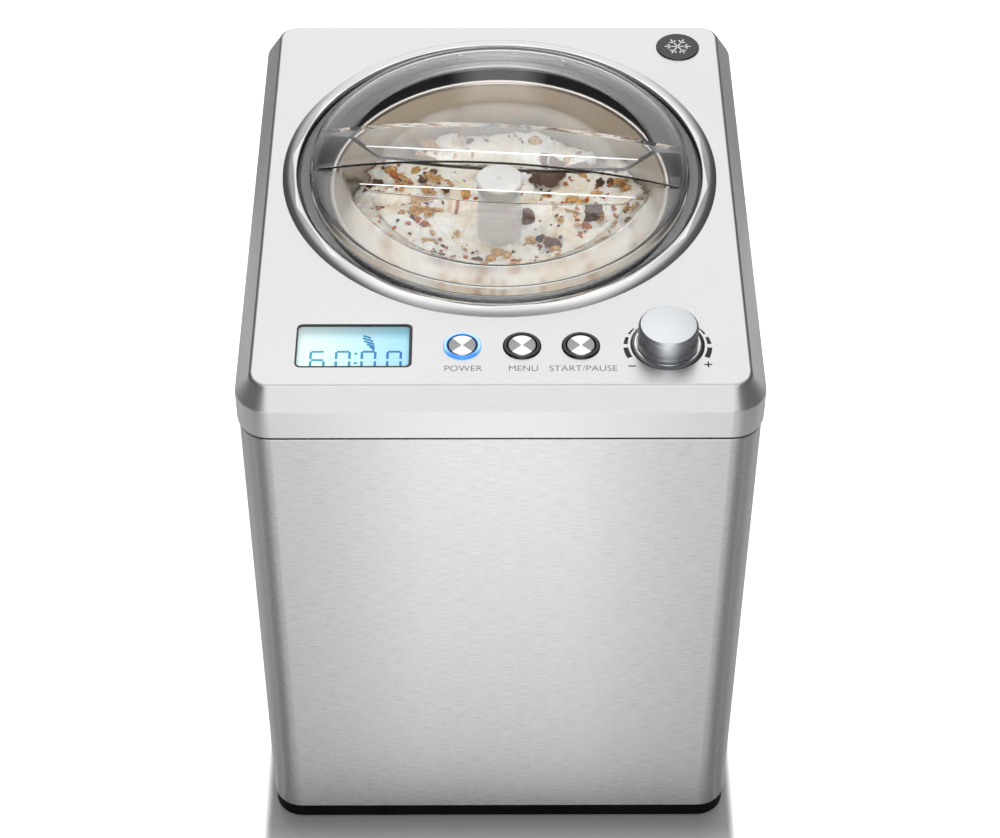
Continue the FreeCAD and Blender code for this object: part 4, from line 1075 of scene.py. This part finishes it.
def inkMaterial(name, colour):
    # flat colour with a faint unevenness
    material, tree, shader = startMaterial(name, roughness=0.5, ior=1.5)
    cloud = noiseNode(tree, 900.0, 2.0)
    base = hexColour(colour)
    tint = rampNode(tree, cloud, [(0.3, base), (0.7, shadeOf(base, 1, 1.25)[1])])
    linkInput(shader, "Base Color", tint)
    return material


def makePrinting(values):
    words = []
    for text, left, right in values["labels"]:
        deselectAll()
        bpy.ops.object.text_add(location=(0, 0, 0))
        word = bpy.context.object
        word.data.body = text
        word.data.size = 1
        word.data.extrude = values["thickness"] / 8
        word.data.offset = values["thin"]
        bpy.ops.object.convert(target="MESH")
        word = bpy.context.object
        xs = [v.co.x for v in word.data.vertices]
        ys = [v.co.y for v in word.data.vertices]
        scaleX = (right - left) / (max(xs) - min(xs))
        scaleY = values["height"] / (max(ys) - min(ys))
        bottom = values["row"] - values["height"] / 2
        level = topZ + (values["thickness"] / 2 + 0.005) * mm
        for vertex in word.data.vertices:
            x = left + (vertex.co.x - min(xs)) * scaleX
            y = bottom + (vertex.co.y - min(ys)) * scaleY
            vertex.co = Vector((x * mm, y * mm, level + vertex.co.z * mm * 2))
        words.append(word)
    piece = joinPieces(words, "key_labels")
    mendMesh(piece, 1e-7)
    dressPiece(piece, "housing", inkMaterial("grey screen print", "#3c3d40"))


makePrinting(printing)

# volume-style ticks round the knob
tickShape = {"inner": 20.5, "thickness": 0.05, "sign": 4.0, "stroke": 0.78, "minus": (67.1, -137.6),
             "plus": (106.1, -136.5),
             # start and end in degrees towards the rear, width at each end in mm
             "marks": ((-26, -6, 2.8, 2.5), (1, 15, 2.2, 1.6), (22, 36, 1.2, 0.5))}


def ringSector(name, inner, start, end, widths, z, thickness, centre):
    # flat sector of a ring whose width changes from its start to its end
    deselectAll()
    bpy.ops.mesh.primitive_grid_add(x_subdivisions=12, y_subdivisions=1, size=2)
    piece = newPiece(name)
    for vertex in piece.data.vertices:
        share = (vertex.co.x + 1) / 2
        angle = math.radians(start + (end - start) * share)
        radius = inner if vertex.co.y < 0 else inner + widths[0] + (widths[1] - widths[0]) * share
        vertex.co = Vector((centre[0] + radius * mm * math.cos(angle),
                            centre[1] + radius * mm * math.sin(angle), z))
    applyModifier(piece, "SOLIDIFY", thickness=thickness * mm, offset=0)
    mendMesh(piece, 1e-7)
    return piece


def makeTicks(values):
    pieces = []
    z = topZ + (values["thickness"] / 2 + 0.005) * mm
    for side in (0, 1):
        for start, end, first, last in values["marks"]:
            if side:
                start, end = 180 - start, 180 - end
            pieces.append(ringSector("tick", values["inner"], start, end, (first, last), z,
                                     values["thickness"], knobCentre.xy))
    half, stroke = values["sign"] / 2, values["stroke"] / 2
    # a minus, and a plus whose two bars differ slightly in height
    bars = [(values["minus"], (half, stroke)), (values["plus"], (half, stroke)),
            (values["plus"], (stroke, half))]
    for number, (centre, halfSize) in enumerate(bars):
        thickness = values["thickness"] + 0.002 * number
        pieces.append(flatBar("sign", centre, halfSize, topZ + 0.005 * mm, thickness))
    ticks = joinPieces(pieces, "knob_marks")
    dressPiece(ticks, "housing", inkMaterial("black screen print", "#0e0f10"))


makeTicks(tickShape)

# snowflake on the badge
badgeShape = {"arm": 7.6, "stroke": 0.8, "branch": 2.6, "thickness": 0.05}


def makeSnowflake(values):
    centre = (badgeLow + badgeHigh) / 2
    low, high = badgeHigh.z + 0.005 * mm, badgeHigh.z + (0.005 + values["thickness"]) * mm
    bars = []

    def addBar(start, end, degrees, slant=0.0):
        bar = addBlock("bar", (start * mm, -values["stroke"] / 2 * mm, low),
                       (end * mm, values["stroke"] / 2 * mm, high))
        if slant:
            pivot = Vector((start * mm, 0, 0))
            turn = Matrix.Rotation(math.radians(slant), 4, "Z")
            bar.data.transform(Matrix.Translation(pivot) @ turn @ Matrix.Translation(-pivot))
        turn = Matrix.Rotation(math.radians(degrees), 4, "Z")
        bar.data.transform(Matrix.Translation((centre.x, centre.y, 0)) @ turn)
        bars.append(bar)

    for number in range(6):
        addBar(0.3, values["arm"], number * 60)
        for slant in (-55, 55):
            addBar(values["arm"] * 0.55, values["arm"] * 0.55 + values["branch"], number * 60, slant)
    flake = joinPieces(bars, "badge_snowflake")
    dressPiece(flake, "housing", inkMaterial("white screen print", "#e9eaec"))


makeSnowflake(badgeShape)
print("controls ready")

low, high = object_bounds()
print("pieces finished")
